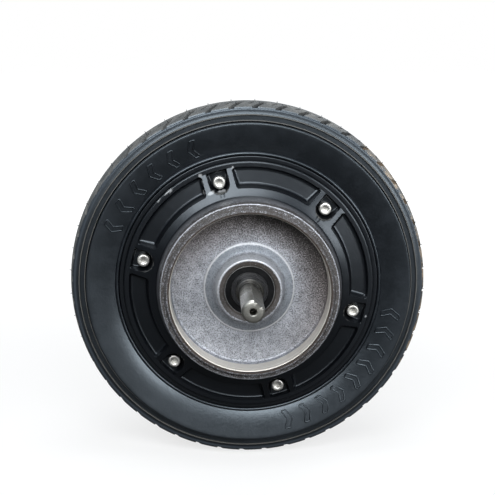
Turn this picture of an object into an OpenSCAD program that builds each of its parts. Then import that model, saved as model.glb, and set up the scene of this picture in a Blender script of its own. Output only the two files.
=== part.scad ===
// Scooter hub motor wheel: a solid tyre on a gearless motor, with a brake drum in one cover.
// Every part is drawn round its own z axis, with +z towards the drum side, and on_axle() then
// lays that axis along the row's -Y, so that the wheel stands upright with its centre at the origin.

/* [Tyre] */
// Diameter over the tread
tyre_d = 200; // [196:1:204]
// Width over the bulge of the two sidewalls
tyre_w = 50; // [48:1:54]
// Width of the tread between its shoulders
tread_w = 40; // [38:0.5:41]
// How far the tread falls from its crown to its shoulders
crown_drop = 2.2; // [1.8:0.2:3]
// Number of slanted grooves on each half of the tread
groove_count = 48; // [40:4:52]
// Width of a tread groove
groove_w = 2.6; // [1.8:0.2:3]
// Depth of a tread groove
groove_depth = 2.2; // [1.6:0.2:2.8]
// Distance of the grooves' inner ends from the middle of the tread
groove_start = 4; // [2:0.5:6]
// Width of the plain strip between the grooves' outer ends and the shoulder
groove_end = 1.8; // [1.2:0.2:2.6]
// Slant of a tread groove from the axle's direction, in degrees
groove_slant = 25; // [20:1:32]

/* [Hub shell] */
// Width over the two flanges
rim_w = 43; // [42:0.5:44]
// Thickness of the shell from the circle of screws to the channel under the tyre
rim_t = 6.7; // [6:0.1:7.5]
// Thickness of the flange that stands round each cover
flange_t = 2.6; // [2.2:0.2:3.2]
// Width of the channel that the tyre sits in
channel_w = 28; // [26:1:29]

/* [Covers] */
// Distance from the circle of screws to the edge of a cover
cover_margin = 9.4; // [9:0.1:10]
// Depth of each cover's seat below the flange's edge
seat_depth = 4; // [3.6:0.2:4.6]
// Least distance from the hub's bore out to the circle of cover screws
screw_offset = 3.5; // [3.3:0.1:4.5]
// Number of screws in each cover
screw_count = 6; // [5:1:6]
// Height of the land round the drum above the cover's seat
land_h = 11.5; // [10.5:0.5:12.5]
// Height of the covers' outer edge above the seat
edge_h = 6; // [5.5:0.25:6.5]
// Thickness left under the pockets between the screws
pocket_floor = 4; // [3.5:0.25:4.5]
// Length of the screws below the head
screw_length = 12; // [10:1:14]

/* [Brake drum] */
// Diameter of the braking surface
drum_d = 86.6; // [85:0.2:87]
// Depth of the drum from its lip to its floor
drum_depth = 17.5; // [16:0.5:18]
// Distance from the wheel's middle plane to the drum's lip
drum_lip = 45.5; // [45:0.5:47]
// Thickness of the iron liner
liner_t = 2.6; // [2:0.2:3]
// Thickness of the cover's wall round the liner
drum_wall = 2.9; // [2.6:0.1:3.4]
// Width of the flat land round the foot of the drum
land_w = 4; // [3.4:0.2:4.4]
// Thickness of the drum's floor
drum_floor_t = 4.5; // [4:0.25:5]

/* [Axle] */
// Distance from the wheel's middle plane to the axle's end on the drum side
drum_end = 84; // [80:1:90]
// Distance from the wheel's middle plane to the axle's end on the cable side
cable_end = 80; // [76:1:86]
// Diameter of the drum side stub
drum_stub_d = 12; // [11:0.5:12.5]
// Diameter of the cable side stub
cable_stub_d = 14; // [13:0.5:15]
// Depth of the flat along each stub
flat_depth = 1.3; // [0.8:0.1:1.4]
// Diameter of the axle inside the stator
stator_seat_d = 20; // [19.6:0.2:21]
// Diameter of the cable bore
cable_bore_d = 8; // [7:0.5:8.5]
// Hole for the cable in its rubber grommet
grommet_hole_d = 6; // [5:0.5:6]

/* [Bearings] */
// Distance from the wheel's middle plane to the inner face of each bearing
bearing_face = 27; // [26.5:0.25:27.5]
// Bore of the drum side bearing
drum_bearing_bore = 15; // [14:0.5:15.5]
// Outside diameter of the drum side bearing
drum_bearing_od = 32; // [31.5:0.5:33]
// Width of the drum side bearing
drum_bearing_w = 9; // [8.5:0.25:9.5]
// Bore of the cable side bearing
cable_bearing_bore = 17; // [16.5:0.5:17.5]
// Outside diameter of the cable side bearing
cable_bearing_od = 35; // [34.5:0.5:36]
// Width of the cable side bearing
cable_bearing_w = 10; // [9.5:0.25:10.5]
// Diameter of the balls in both bearings
ball_d = 4.762; // [4.4:0.1:4.9]

/* [Motor] */
// Diameter of the stator's laminations
stator_d = 98; // [94:1:102]
// Length of the stack of laminations
stack_l = 30; // [28:1:30]
// Number of teeth, three for each set of phase coils
tooth_count = 27; // [24:3:27]
// Number of magnets
magnet_count = 30; // [28:2:32]
// Width of a tooth
tooth_w = 4.2; // [3.8:0.2:4.4]
// Gap between the teeth and the magnets
air_gap = 0.6; // [0.5:0.1:0.8]
// Thickness of the magnets
magnet_t = 3; // [2.6:0.2:3.2]
// Thickness of the steel ring that carries the magnets
flux_ring_t = 3.6; // [3:0.2:3.6]

/* [Hidden] */

// How the wheel and the axle stand at rest, in degrees anticlockwise from the drum side
screw_phase = 45.7;
groove_phase = 1.5;
flat_phase = 50;
fine = 128;
coarse = 48;

// Clearances: between fixed pieces, round the turning balls, and round the seals' lips
fit = 0.05;
ball_play = 0.1;
lip_play = 0.15;
tiny = 0.01;

// Radii and stations that more than one piece uses
tyre_r = tyre_d / 2;
rim_edge = rim_w / 2;
hub_seat = rim_edge - seat_depth;
gasket_t = 0.5;
cover_seat = hub_seat + gasket_t;
land_z = cover_seat + land_h;
edge_z = cover_seat + edge_h;
pocket_z = cover_seat + pocket_floor;

// Brake drum
drum_r = drum_d / 2;
drum_floor = drum_lip - drum_depth;
drum_back = drum_floor - drum_floor_t;
liner_r = drum_r + liner_t;
drum_outer_r = liner_r + drum_wall;
drum_foot_r = drum_outer_r + 2.4;
pocket_in_r = drum_foot_r + land_w;
drum_shoulder = drum_lip - 3.4;
liner_top = drum_lip - 1.9;
floor_fillet = 2.4;
liner_bottom = drum_floor + floor_fillet;
lip_r = drum_r + 0.6;

// Radii from the stator outwards; the screws clear both the hub's bore and the drum's foot
stator_r = stator_d / 2;
magnet_in_r = stator_r + air_gap;
magnet_out_r = magnet_in_r + magnet_t;
ring_in_r = magnet_out_r + fit;
ring_out_r = ring_in_r + flux_ring_t;
hub_bore_r = ring_out_r + fit;
screw_r = max(hub_bore_r + screw_offset, pocket_in_r + 4);
seat_r = screw_r + rim_t;
cover_r = screw_r + cover_margin;
flange_r = cover_r + flange_t;
magnet_l = stack_l + 1;
spigot_r = hub_bore_r - fit;
spigot_t = 3.4;
spigot_clearance = 0.1;
spigot_depth = hub_seat - stack_l / 2 - spigot_clearance;

// Screws: M4 socket heads, sunk in U-shaped pockets
screw_d = 4;
head_d = 7;
head_h = 4;
socket_af = 3;
head_seat = pocket_z - 1;
head_pocket_r = 5.7;
screw_hole_d = 4.4;
rib_t = 2.8;
rib_r = head_pocket_r + rib_t;
rim_wall = 2.9;
pocket_out_r = cover_r - rim_wall;
pocket_draft = 1.6;
pocket_fillet = 1;

// Bearings: bore, outside diameter, width, diameters of the inner and outer ring's lands, balls
land_step = 0.7 * ball_d;
drum_bearing = [drum_bearing_bore, drum_bearing_od, drum_bearing_w,
  (drum_bearing_bore + drum_bearing_od - land_step * 2) / 2,
  (drum_bearing_bore + drum_bearing_od + land_step * 2) / 2, 9];
cable_bearing = [cable_bearing_bore, cable_bearing_od, cable_bearing_w,
  (cable_bearing_bore + cable_bearing_od - land_step * 2) / 2,
  (cable_bearing_bore + cable_bearing_od + land_step * 2) / 2, 10];
seal_t = 0.8;
seal_inset = 0.3;
drum_bearing_end = bearing_face + drum_bearing[2];
cable_bearing_end = bearing_face + cable_bearing[2];
washer_t = 0.6;
bearing_lip = 2.3;
boss_lip_r = drum_bearing_od / 2 - bearing_lip;
cable_boss_lip_r = cable_bearing_od / 2 - bearing_lip;
boss_wall = 1.8;
boss_r = drum_bearing_od / 2 + boss_wall;
boss_foot_r = boss_r + 7.7;
boss_step = 1.2;
boss_fillet = 4;
seat_back_w = 4;
bearing_back_z = bearing_face - 0.5;
boss_top = drum_bearing_end + 2.6;
cable_boss_wall = 6;
cable_boss_r = cable_bearing_od / 2 + cable_boss_wall;
cable_boss_top = cable_bearing_end + washer_t + 2.2;

// Axle: shoulders and collars
drum_collar_end = drum_bearing_end + 5.5;
cable_collar_end = cable_bearing_end + 4;
carrier_stop = stack_l / 2;
carrier_stop_d = stator_seat_d + 6;
carrier_stop_w = 3;
drum_shoulder_d = 18.6;
cable_slot_d = 7;
cable_slot_z = 22;
chamfer = 1;
centre_hole_d = 3.6;
relief_w = 1;
relief_depth = 0.4;
flat_start = 2;
circlip_t = 1.2;
circlip_gap = 0.3;
circlip_groove = 1;
key_w = 5;
key_l = 22;
key_top = stator_seat_d / 2 + 2;
key_bottom = stator_seat_d / 2 - 3;

// Stator: carrier, yoke, teeth and coils
yoke_in_r = stator_r - 22.5;
yoke_out_r = stator_r - 17;
shoe_in_r = stator_r - 2.6;
slot_opening = 2;
insulator_t = 1;
insulator_margin = 0.3;
coil_in_r = yoke_out_r + 0.6;
coil_step_r = stator_r - 10;
coil_out_r = shoe_in_r - 0.5;
coil_hole_w = tooth_w + 2 * insulator_margin + 0.2;
slot_half_angle = 180 / tooth_count;
coil_gap = 0.18;
carrier_hub_r = stator_seat_d / 2 + 5;
carrier_ring_t = 3.5;
carrier_ring_l = stack_l - 4;
spoke_w = 7;
spoke_count = 6;
board_t = 1.6;
board_z = stack_l / 2 + insulator_t + 6.4;
board_clearance = 1;
cable_plate_t = 3.5;
board_in_r = yoke_in_r + 1;
board_angle = 80;
board_middle = 250;
sensor_angle = 4 * slot_half_angle;
sensor_w = 4;
sensor_t = 1.6;
sensor_h = 3;
leg_t = 0.5;
leg_pitch = 1.27;

// Axle's length turned from the vertical z axis to the row's -Y
module on_axle() {
  rotate([90, 0, 0]) children();
}

// The same, drawn with +z towards the cable side
module on_cable_side() {
  rotate([90, 0, 0]) mirror([0, 0, 1]) children();
}

module ring(outer_r, inner_r, h, faces = fine) {
  difference() {
    cylinder(h = h, r = outer_r, $fn = faces);
    translate([0, 0, -1]) cylinder(h = h + 2, r = inner_r, $fn = faces);
  }
}

module copies(count, phase = 0) {
  for (i = [0 : count - 1]) rotate([0, 0, phase + i * 360 / count]) children();
}

// A cubic curve from a to d, pulled towards b and c
function curve(a, b, c, d, n) = [for (i = [0 : n])
  let (t = i / n, u = 1 - t)
  u * u * u * a + 3 * u * u * t * b + 3 * u * t * t * c + t * t * t * d];

// A round edge of radius r about the centre c, from angle a0 to a1
function round_edge(c, r, a0, a1, n = 3) = [for (i = [0 : n])
  let (a = a0 + (a1 - a0) * i / n)
  [c[0] + r * cos(a), c[1] + r * sin(a)]];

// The arc of radius r that rounds the corner b between a and c
function corner_arc(a, b, c, r, n) = let (
    u = (a - b) / norm(a - b),
    v = (c - b) / norm(c - b),
    half = acos(u * v) / 2,
    o = b + (u + v) / norm(u + v) * r / sin(half),
    s = b + u * r / tan(half) - o,
    e = b + v * r / tan(half) - o,
    a0 = atan2(s[1], s[0]),
    turn = (atan2(e[1], e[0]) - a0 + 540) % 360 - 180)
  [for (i = [0 : n]) o + r * [cos(a0 + turn * i / n), sin(a0 + turn * i / n)]];

// A closed outline from corners [x, y] or [x, y, radius]
function rounded(corners, n = 3) = [for (i = [0 : len(corners) - 1])
  let (
    k = len(corners),
    b = corners[i],
    a = corners[(i + k - 1) % k],
    c = corners[(i + 1) % k])
  each len(b) < 3 ? [b] : corner_arc([a[0], a[1]], [b[0], b[1]], [c[0], c[1]], b[2], n)];

function flip(points) = [for (i = [len(points) - 1 : -1 : 0]) [points[i][0], -points[i][1]]];

// Tyre: half of its section, from the channel round the bead, up the sidewall and to the crown
bead_r = flange_r + 0.3;
bead_z = rim_edge - 0.5;
channel_half = channel_w / 2 - fit;
shoulder_r = tyre_r - crown_drop;
line_r = shoulder_r - 7.8;
line_z = tread_w / 2 + 0.4;
line_gap = 3.7;
line_h = 0.6;
bulge_pull = (4 * tyre_w - bead_z - line_z) / 6;
tyre_half = concat(
  [[seat_r + fit, channel_half], [bead_r, channel_half]],
  round_edge([bead_r + 0.9, bead_z - 0.4], 0.9, 180, 20, 4),
  curve([bead_r + 2.4, bead_z - 0.3], [bead_r + 6, bulge_pull], [line_r - 5, bulge_pull],
    [line_r - 0.8, line_z], 8),
  [[line_r, line_z + line_h / 2], [line_r + 0.7, line_z - line_h],
    [line_r + line_gap - 0.7, line_z - line_h], [line_r + line_gap, line_z + line_h / 2],
    [line_r + line_gap + 0.7, line_z - line_h]],
  curve([shoulder_r - 2.2, line_z - line_h], [shoulder_r - 0.9, line_z - line_h],
    [shoulder_r - 0.3, tread_w / 2 + 0.2], [shoulder_r, tread_w / 2 - 0.6], 3),
  curve([shoulder_r + 0.3, tread_w / 2 - 2], [tyre_r - 0.7, tread_w * 0.32],
    [tyre_r, tread_w * 0.18], [tyre_r, 0], 5));

module tyre() {
  reach = tread_w / 2 - groove_end - groove_start;
  tilt = atan(crown_drop / (tread_w / 2));
  color("#1b1c1e") on_axle() difference() {
    rotate_extrude($fn = fine) polygon(concat(flip(tyre_half), tyre_half));
    for (side = [0, 1]) mirror([0, 0, side])
      copies(groove_count, groove_phase + side * 180 / groove_count)
        translate([tyre_r - groove_depth, 0, groove_start])
          rotate([0, -tilt, 0]) rotate([-groove_slant, 0, 0])
            translate([0, -groove_w / 2, 0]) cube([8, groove_w, reach / cos(groove_slant)]);
  }
}

module hub_shell() {
  half = [[hub_bore_r, hub_seat], [cover_r + fit, hub_seat], [cover_r + fit, rim_edge - 0.4],
    [cover_r + fit + 0.4, rim_edge], [flange_r - 0.4, rim_edge], [flange_r, rim_edge - 0.4],
    [flange_r, channel_w / 2], [seat_r, channel_w / 2]];
  color("#202225") on_axle() difference() {
    rotate_extrude($fn = fine) polygon(concat(half, flip(half)));
    for (side = [0, 1]) mirror([0, 0, side])
      copies(screw_count, screw_phase)
        translate([screw_r, 0, head_seat - screw_length - 1])
          cylinder(h = screw_length + 2, d = screw_d + 2 * fit, $fn = coarse);
  }
}

// Both covers: arc pockets between the screws, and at each screw a U-shaped pocket between two ribs
module cover_cuts(top) {
  middle_r = (pocket_in_r + pocket_out_r) / 2;
  difference() {
    rotate_extrude($fn = fine) polygon(rounded([
      [pocket_in_r + pocket_draft, pocket_z, pocket_fillet],
      [pocket_out_r - pocket_draft / 3, pocket_z, pocket_fillet],
      [pocket_out_r, top], [pocket_in_r, top], [pocket_in_r + pocket_draft / 3, pocket_z + 5]]));
    copies(screw_count, screw_phase) translate([middle_r - (cover_r - drum_r) / 2, -rib_r, 0])
      cube([cover_r - drum_r, 2 * rib_r, top]);
  }
  copies(screw_count, screw_phase) {
    translate([screw_r, 0, head_seat])
      cylinder(h = top - head_seat, r = head_pocket_r, $fn = coarse);
    translate([screw_r, -head_pocket_r, head_seat])
      cube([pocket_out_r - screw_r, 2 * head_pocket_r, top - head_seat]);
    translate([screw_r, 0, 0]) cylinder(h = top, d = screw_hole_d, $fn = coarse);
  }
}

// The edge of a cover from its inside, round the spigot and the seat, and up to the land
function cover_edge(back) = [
  [spigot_r - spigot_t - 2, back, 1.5], [spigot_r - spigot_t, hub_seat - spigot_depth],
  [spigot_r, hub_seat - spigot_depth, 0.5], [spigot_r, cover_seat], [cover_r, cover_seat],
  [cover_r, edge_z, 0.8], [pocket_out_r, edge_z + 0.2], [pocket_in_r, land_z, 0.8]];

module drum_cover() {
  seat = drum_bearing_od / 2 + fit;
  profile = rounded(concat(
    [[seat, bearing_back_z], [seat + seat_back_w, bearing_back_z],
      [seat + seat_back_w + 2, drum_back, 1]],
    cover_edge(drum_back),
    [[drum_foot_r, land_z, 0.8], [drum_outer_r, drum_shoulder, 0.9],
      [lip_r + 2.6, drum_shoulder, 0.4], [lip_r + 1.4, drum_lip, 0.6], [lip_r, drum_lip, 0.5],
      [drum_r + 0.7, liner_top], [liner_r + fit, liner_top], [liner_r + fit, liner_bottom],
      [drum_r, liner_bottom], [drum_r - 0.4, drum_floor, floor_fillet],
      [boss_foot_r, drum_floor], [boss_foot_r - 0.6, drum_floor + boss_step, 0.5],
      [boss_r + 1.6, drum_floor + boss_step + 0.6, boss_fillet], [boss_r, boss_top, 1.4],
      [boss_lip_r + 0.6, boss_top, 0.5], [boss_lip_r, drum_bearing_end],
      [seat, drum_bearing_end]]));
  color("#2a2c2f") on_axle() difference() {
    rotate_extrude($fn = fine) polygon(profile);
    cover_cuts(land_z + 1);
  }
}

module brake_liner() {
  h = liner_top - liner_bottom - 2 * fit;
  color("#a39f98") on_axle() translate([0, 0, liner_bottom + fit]) ring(liner_r, drum_r, h);
}

module cable_cover() {
  seat = cable_bearing_od / 2 + fit;
  bearing_back = cable_bearing_end + washer_t;
  back = board_z + board_t + board_clearance;
  plate = back + cable_plate_t;
  profile = rounded(concat(
    [[seat, bearing_back_z], [seat + seat_back_w, bearing_back_z], [seat + seat_back_w + 1, back]],
    cover_edge(back),
    [[pocket_in_r - land_w, land_z, 0.8], [pocket_in_r - land_w - 1.2, plate, 0.8],
      [cable_boss_r + 1.2, plate + 0.6, boss_fillet], [cable_boss_r, cable_boss_top, 1.6],
      [cable_boss_lip_r + 0.8, cable_boss_top, 0.5], [cable_boss_lip_r, bearing_back],
      [seat, bearing_back]]));
  color("#2a2c2f") on_cable_side() difference() {
    rotate_extrude($fn = fine) polygon(profile);
    cover_cuts(land_z + 1);
  }
}

module gasket() {
  difference() {
    ring(cover_r - fit, spigot_r + fit, gasket_t);
    copies(screw_count, screw_phase)
      translate([screw_r, 0, -1]) cylinder(h = gasket_t + 2, d = screw_hole_d, $fn = coarse);
  }
}

module drum_cover_gasket() {
  color("#5b4a3a") on_axle() translate([0, 0, hub_seat]) gasket();
}

module cable_cover_gasket() {
  color("#5b4a3a") on_cable_side() translate([0, 0, hub_seat]) gasket();
}

module screws() {
  copies(screw_count, screw_phase) translate([screw_r, 0, head_seat]) difference() {
    union() {
      cylinder(h = head_h - 0.4, d = head_d, $fn = coarse);
      translate([0, 0, head_h - 0.4]) cylinder(h = 0.4, d1 = head_d, d2 = head_d - 0.8, $fn = coarse);
      translate([0, 0, -screw_length]) cylinder(h = screw_length + tiny, d = screw_d, $fn = coarse);
    }
    translate([0, 0, head_h - 2.2]) cylinder(h = 3, d = socket_af / cos(30), $fn = 6);
  }
}

module drum_cover_screws() {
  color("#c9c7c2") on_axle() screws();
}

module cable_cover_screws() {
  color("#c9c7c2") on_cable_side() screws();
}

module flux_ring() {
  color("#7d7f82") on_axle() translate([0, 0, -stack_l / 2]) ring(ring_out_r, ring_in_r, stack_l);
}

module magnets() {
  share = 0.92;
  color("#b9bcc0") on_axle() copies(magnet_count)
    translate([0, 0, -magnet_l / 2]) rotate_extrude(angle = 360 / magnet_count * share, $fn = fine)
      translate([magnet_in_r, 0]) square([magnet_t, magnet_l]);
}

// Deep groove ball bearings, drawn from their inner face at z = 0
module bearing_ring(b, outer) {
  pitch_r = (b[0] + b[1]) / 4;
  from_r = outer ? b[4] / 2 : b[0] / 2;
  to_r = outer ? b[1] / 2 : b[3] / 2;
  rotate_extrude($fn = fine) difference() {
    translate([from_r, 0]) square([to_r - from_r, b[2]]);
    translate([pitch_r, b[2] / 2]) circle(r = ball_d / 2 + ball_play, $fn = coarse);
  }
}

module bearing_seal(b) {
  translate([0, 0, seal_inset]) ring(b[4] / 2 - fit, b[3] / 2 + lip_play, seal_t);
}

module bearing_balls(b) {
  copies(b[5], 180 / b[5]) translate([(b[0] + b[1]) / 4, 0, b[2] / 2])
    sphere(d = ball_d, $fn = coarse);
}

module bearing_cage(b) {
  pitch_r = (b[0] + b[1]) / 4;
  w = ball_d + 1.2;
  difference() {
    translate([0, 0, (b[2] - w) / 2]) ring(pitch_r + 0.7, pitch_r - 0.7, w);
    copies(b[5], 180 / b[5]) translate([pitch_r - 2, 0, b[2] / 2]) rotate([0, 90, 0])
      cylinder(h = 4, d = ball_d + 2 * ball_play, $fn = coarse);
  }
}

module at_drum_bearing() {
  on_axle() translate([0, 0, bearing_face]) children();
}

module at_cable_bearing() {
  on_cable_side() translate([0, 0, bearing_face]) children();
}

module drum_bearing_outer_ring() {
  color("#9a9c9e") at_drum_bearing() bearing_ring(drum_bearing, true);
}

module drum_bearing_inner_ring() {
  color("#b4b6b8") at_drum_bearing() bearing_ring(drum_bearing, false);
}

module drum_bearing_outer_seal() {
  color("#141516") at_drum_bearing()
    translate([0, 0, drum_bearing[2] - 2 * seal_inset - seal_t]) bearing_seal(drum_bearing);
}

module drum_bearing_inner_seal() {
  color("#141516") at_drum_bearing() bearing_seal(drum_bearing);
}

module drum_bearing_balls() {
  color("#d5d7d9") at_drum_bearing() bearing_balls(drum_bearing);
}

module drum_bearing_cage() {
  color("#a8a294") at_drum_bearing() bearing_cage(drum_bearing);
}

module cable_bearing_outer_ring() {
  color("#9a9c9e") at_cable_bearing() bearing_ring(cable_bearing, true);
}

module cable_bearing_inner_ring() {
  color("#b4b6b8") at_cable_bearing() bearing_ring(cable_bearing, false);
}

module cable_bearing_outer_seal() {
  color("#141516") at_cable_bearing()
    translate([0, 0, cable_bearing[2] - 2 * seal_inset - seal_t]) bearing_seal(cable_bearing);
}

module cable_bearing_inner_seal() {
  color("#141516") at_cable_bearing() bearing_seal(cable_bearing);
}

module cable_bearing_balls() {
  color("#d5d7d9") at_cable_bearing() bearing_balls(cable_bearing);
}

module cable_bearing_cage() {
  color("#a8a294") at_cable_bearing() bearing_cage(cable_bearing);
}

module preload_washer() {
  color("#8f9194") on_cable_side() translate([0, 0, cable_bearing_end])
    ring(cable_bearing[1] / 2, cable_bearing[4] / 2 + 0.6, washer_t);
}

// Axle: turned bar with a relief groove and a flat on each stub, a lathe centre and a cable bore
module axle_stub_flat(stub_d, from, to) {
  rotate([0, 0, flat_phase]) translate([stub_d / 2 - flat_depth, -stub_d, from])
    cube([stub_d, 2 * stub_d, to - from + 1]);
}

module axle() {
  drum_r_stub = drum_stub_d / 2;
  cable_r_stub = cable_stub_d / 2;
  seat = stator_seat_d / 2;
  groove = -carrier_stop - circlip_gap;
  drum_flat = drum_collar_end + flat_start;
  cable_flat = cable_collar_end + flat_start;
  profile = [[0, drum_end], [drum_r_stub - chamfer, drum_end], [drum_r_stub, drum_end - chamfer],
    [drum_r_stub, drum_flat + relief_w], [drum_r_stub - relief_depth, drum_flat + relief_w],
    [drum_r_stub - relief_depth, drum_flat], [drum_r_stub, drum_flat],
    [drum_r_stub, drum_collar_end], [drum_bearing[0] / 2 - 0.6, drum_collar_end],
    [drum_bearing[0] / 2, drum_collar_end - 0.6], [drum_bearing[0] / 2, bearing_face],
    [drum_shoulder_d / 2, bearing_face], [drum_shoulder_d / 2, carrier_stop + carrier_stop_w],
    [carrier_stop_d / 2, carrier_stop + carrier_stop_w], [carrier_stop_d / 2, carrier_stop],
    [seat, carrier_stop], [seat, groove], [seat - circlip_groove, groove],
    [seat - circlip_groove, groove - circlip_t], [seat, groove - circlip_t],
    [seat, -bearing_face], [cable_bearing[0] / 2, -bearing_face],
    [cable_bearing[0] / 2, 0.6 - cable_collar_end], [cable_bearing[0] / 2 - 0.6, -cable_collar_end],
    [cable_r_stub, -cable_collar_end], [cable_r_stub, -cable_flat],
    [cable_r_stub - relief_depth, -cable_flat], [cable_r_stub - relief_depth, -cable_flat - relief_w],
    [cable_r_stub, -cable_flat - relief_w], [cable_r_stub, chamfer - cable_end],
    [cable_r_stub - chamfer, -cable_end], [0, -cable_end]];
  color("#8b8a86") on_axle() difference() {
    rotate_extrude($fn = fine) polygon(profile);
    axle_stub_flat(drum_stub_d, drum_flat + relief_w / 2, drum_end);
    mirror([0, 0, 1]) axle_stub_flat(cable_stub_d, cable_flat + relief_w / 2, cable_end);
    translate([0, 0, drum_end - 5]) cylinder(h = 6, d = centre_hole_d, $fn = coarse);
    translate([0, 0, drum_end - 1]) cylinder(h = 1 + tiny, d1 = centre_hole_d, d2 = centre_hole_d + 1.4,
      $fn = coarse);
    translate([0, 0, -cable_end - 1])
      cylinder(h = cable_end - cable_slot_z + 1, d = cable_bore_d, $fn = coarse);
    translate([0, 0, -cable_slot_z]) rotate([90, 0, 0])
      cylinder(h = stator_seat_d, d = cable_slot_d, $fn = coarse);
    translate([key_bottom, -key_w / 2, -key_l / 2]) cube([stator_seat_d, key_w, key_l]);
  }
}

module cable_grommet() {
  flange_h = 1.5;
  depth = 8;
  color("#17181a") on_cable_side() translate([0, 0, cable_end - depth]) difference() {
    union() {
      cylinder(h = depth + tiny, d = cable_bore_d - 2 * fit, $fn = coarse);
      translate([0, 0, depth]) cylinder(h = flange_h, d = cable_bore_d + 3, $fn = coarse);
    }
    translate([0, 0, -1]) cylinder(h = depth + flange_h + 2, d = grommet_hole_d, $fn = coarse);
  }
}

module stator_carrier() {
  hole_r = stator_seat_d / 2 + fit;
  color("#b7b9bb") on_axle() difference() {
    union() {
      translate([0, 0, -stack_l / 2]) cylinder(h = stack_l, r = carrier_hub_r, $fn = fine);
      translate([0, 0, -carrier_ring_l / 2])
        ring(yoke_in_r - fit, yoke_in_r - carrier_ring_t, carrier_ring_l);
      copies(spoke_count, 30) translate([hole_r + 2, -spoke_w / 2, -carrier_ring_l / 2 + 3])
        cube([yoke_in_r - carrier_ring_t / 2 - hole_r - 2, spoke_w, carrier_ring_l - 6]);
    }
    translate([0, 0, -stack_l]) cylinder(h = 2 * stack_l, r = hole_r, $fn = fine);
    translate([0, -key_w / 2 - fit, -stack_l]) cube([key_top + fit, key_w + 2 * fit, 2 * stack_l]);
  }
}

module carrier_key() {
  color("#77797b") on_axle() translate([key_bottom + fit, -key_w / 2 + fit, -key_l / 2 + fit])
    cube([key_top - key_bottom - fit, key_w - 2 * fit, key_l - 2 * fit]);
}

module carrier_circlip() {
  in_r = stator_seat_d / 2 - circlip_groove + fit;
  color("#3c3d3f") on_axle() translate([0, 0, -carrier_stop - circlip_gap - circlip_t + fit])
    difference() {
      ring(in_r + 3.2, in_r, circlip_t - 2 * fit);
      translate([-2.5, -in_r - 6, -1]) cube([5, 8, circlip_t + 2]);
    }
}

// Laminations: the yoke, the teeth and their shoes
module stator_outline(margin = 0) {
  difference() {
    union() {
      difference() {
        circle(r = yoke_out_r + margin, $fn = fine);
        circle(r = yoke_in_r, $fn = fine);
      }
      difference() {
        circle(r = stator_r, $fn = fine);
        circle(r = shoe_in_r, $fn = fine);
      }
      copies(tooth_count) translate([yoke_out_r - 1, -tooth_w / 2 - margin])
        square([shoe_in_r - yoke_out_r + 2, tooth_w + 2 * margin]);
    }
    copies(tooth_count, slot_half_angle) translate([shoe_in_r - 1, -slot_opening / 2])
      square([6, slot_opening]);
  }
}

module stator_core() {
  color("#6d7074") on_axle() translate([0, 0, -stack_l / 2])
    linear_extrude(height = stack_l) stator_outline();
}

module insulator() {
  linear_extrude(height = insulator_t) difference() {
    stator_outline(insulator_margin);
    difference() {
      circle(r = stator_r + 2, $fn = fine);
      circle(r = stator_r - 0.4, $fn = fine);
    }
  }
}

module drum_side_insulator() {
  color("#d8d4c6") on_axle() translate([0, 0, stack_l / 2]) insulator();
}

module cable_side_insulator() {
  post_r = (yoke_in_r + yoke_out_r) / 2;
  color("#d8d4c6") on_cable_side() translate([0, 0, stack_l / 2]) {
    insulator();
    for (a = [-1 : 1]) rotate([0, 0, -board_middle + a * board_angle * 0.4])
      translate([post_r, 0, 0]) cylinder(h = board_z - stack_l / 2, r = 1.6, $fn = coarse);
  }
}

// A coil wound round one tooth: a narrow stage by the yoke and a wider one by the shoe
module stadium(w, straight) {
  translate([-w / 2, -straight / 2]) square([w, straight]);
  for (s = [-1, 1]) translate([0, s * straight / 2]) circle(d = w, $fn = coarse);
}

module coil_stage(from_r, to_r) {
  half_w = from_r * tan(slot_half_angle) - coil_gap;
  straight = stack_l + 2 * insulator_t + 0.2;
  rotate([0, 90, 0]) rotate([0, 0, 90]) translate([0, 0, from_r])
    linear_extrude(height = to_r - from_r) difference() {
      stadium(2 * half_w, straight);
      stadium(coil_hole_w, straight);
    }
}

module coils(first) {
  sets = tooth_count / 3;
  for (i = [0 : sets - 1]) rotate([0, 0, (3 * i + first) * 2 * slot_half_angle]) {
    coil_stage(coil_in_r, coil_step_r);
    coil_stage(coil_step_r - tiny, coil_out_r);
  }
}

module phase_a_coils() {
  color("#b5652b") on_axle() coils(0);
}

module phase_b_coils() {
  color("#ad5f28") on_axle() coils(1);
}

module phase_c_coils() {
  color("#bc6b30") on_axle() coils(2);
}

// Position sensors at the ends of three shoes, on a board behind the coils
module hall_board() {
  color("#1f6b3f") on_cable_side() translate([0, 0, board_z])
    rotate([0, 0, -board_middle - board_angle / 2])
      rotate_extrude(angle = board_angle, $fn = fine)
        translate([board_in_r, 0]) square([stator_r - 0.4 - board_in_r, board_t]);
}

module hall_sensors() {
  foot = stack_l / 2 + insulator_t;
  color("#26272a") on_cable_side()
    for (i = [-1 : 1]) rotate([0, 0, -board_middle + i * sensor_angle]) {
      translate([shoe_in_r + 0.3, -sensor_w / 2, foot]) cube([sensor_t, sensor_w, sensor_h]);
      for (leg = [-1 : 1])
        translate([shoe_in_r + 0.3 + leg_t, leg * leg_pitch - leg_t / 2, foot + sensor_h - tiny])
          cube([leg_t, leg_t, board_z - foot - sensor_h + tiny]);
    }
}

tyre();
hub_shell();
drum_cover();
brake_liner();
cable_cover();
drum_cover_gasket();
cable_cover_gasket();
drum_cover_screws();
cable_cover_screws();
flux_ring();
magnets();
drum_bearing_outer_ring();
drum_bearing_outer_seal();
drum_bearing_inner_seal();
cable_bearing_outer_ring();
cable_bearing_outer_seal();
cable_bearing_inner_seal();
preload_washer();
drum_bearing_balls();
drum_bearing_cage();
cable_bearing_balls();
cable_bearing_cage();
drum_bearing_inner_ring();
cable_bearing_inner_ring();
axle();
stator_carrier();
carrier_key();
carrier_circlip();
stator_core();
drum_side_insulator();
cable_side_insulator();
phase_a_coils();
phase_b_coils();
phase_c_coils();
hall_board();
hall_sensors();
cable_grommet();
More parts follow.
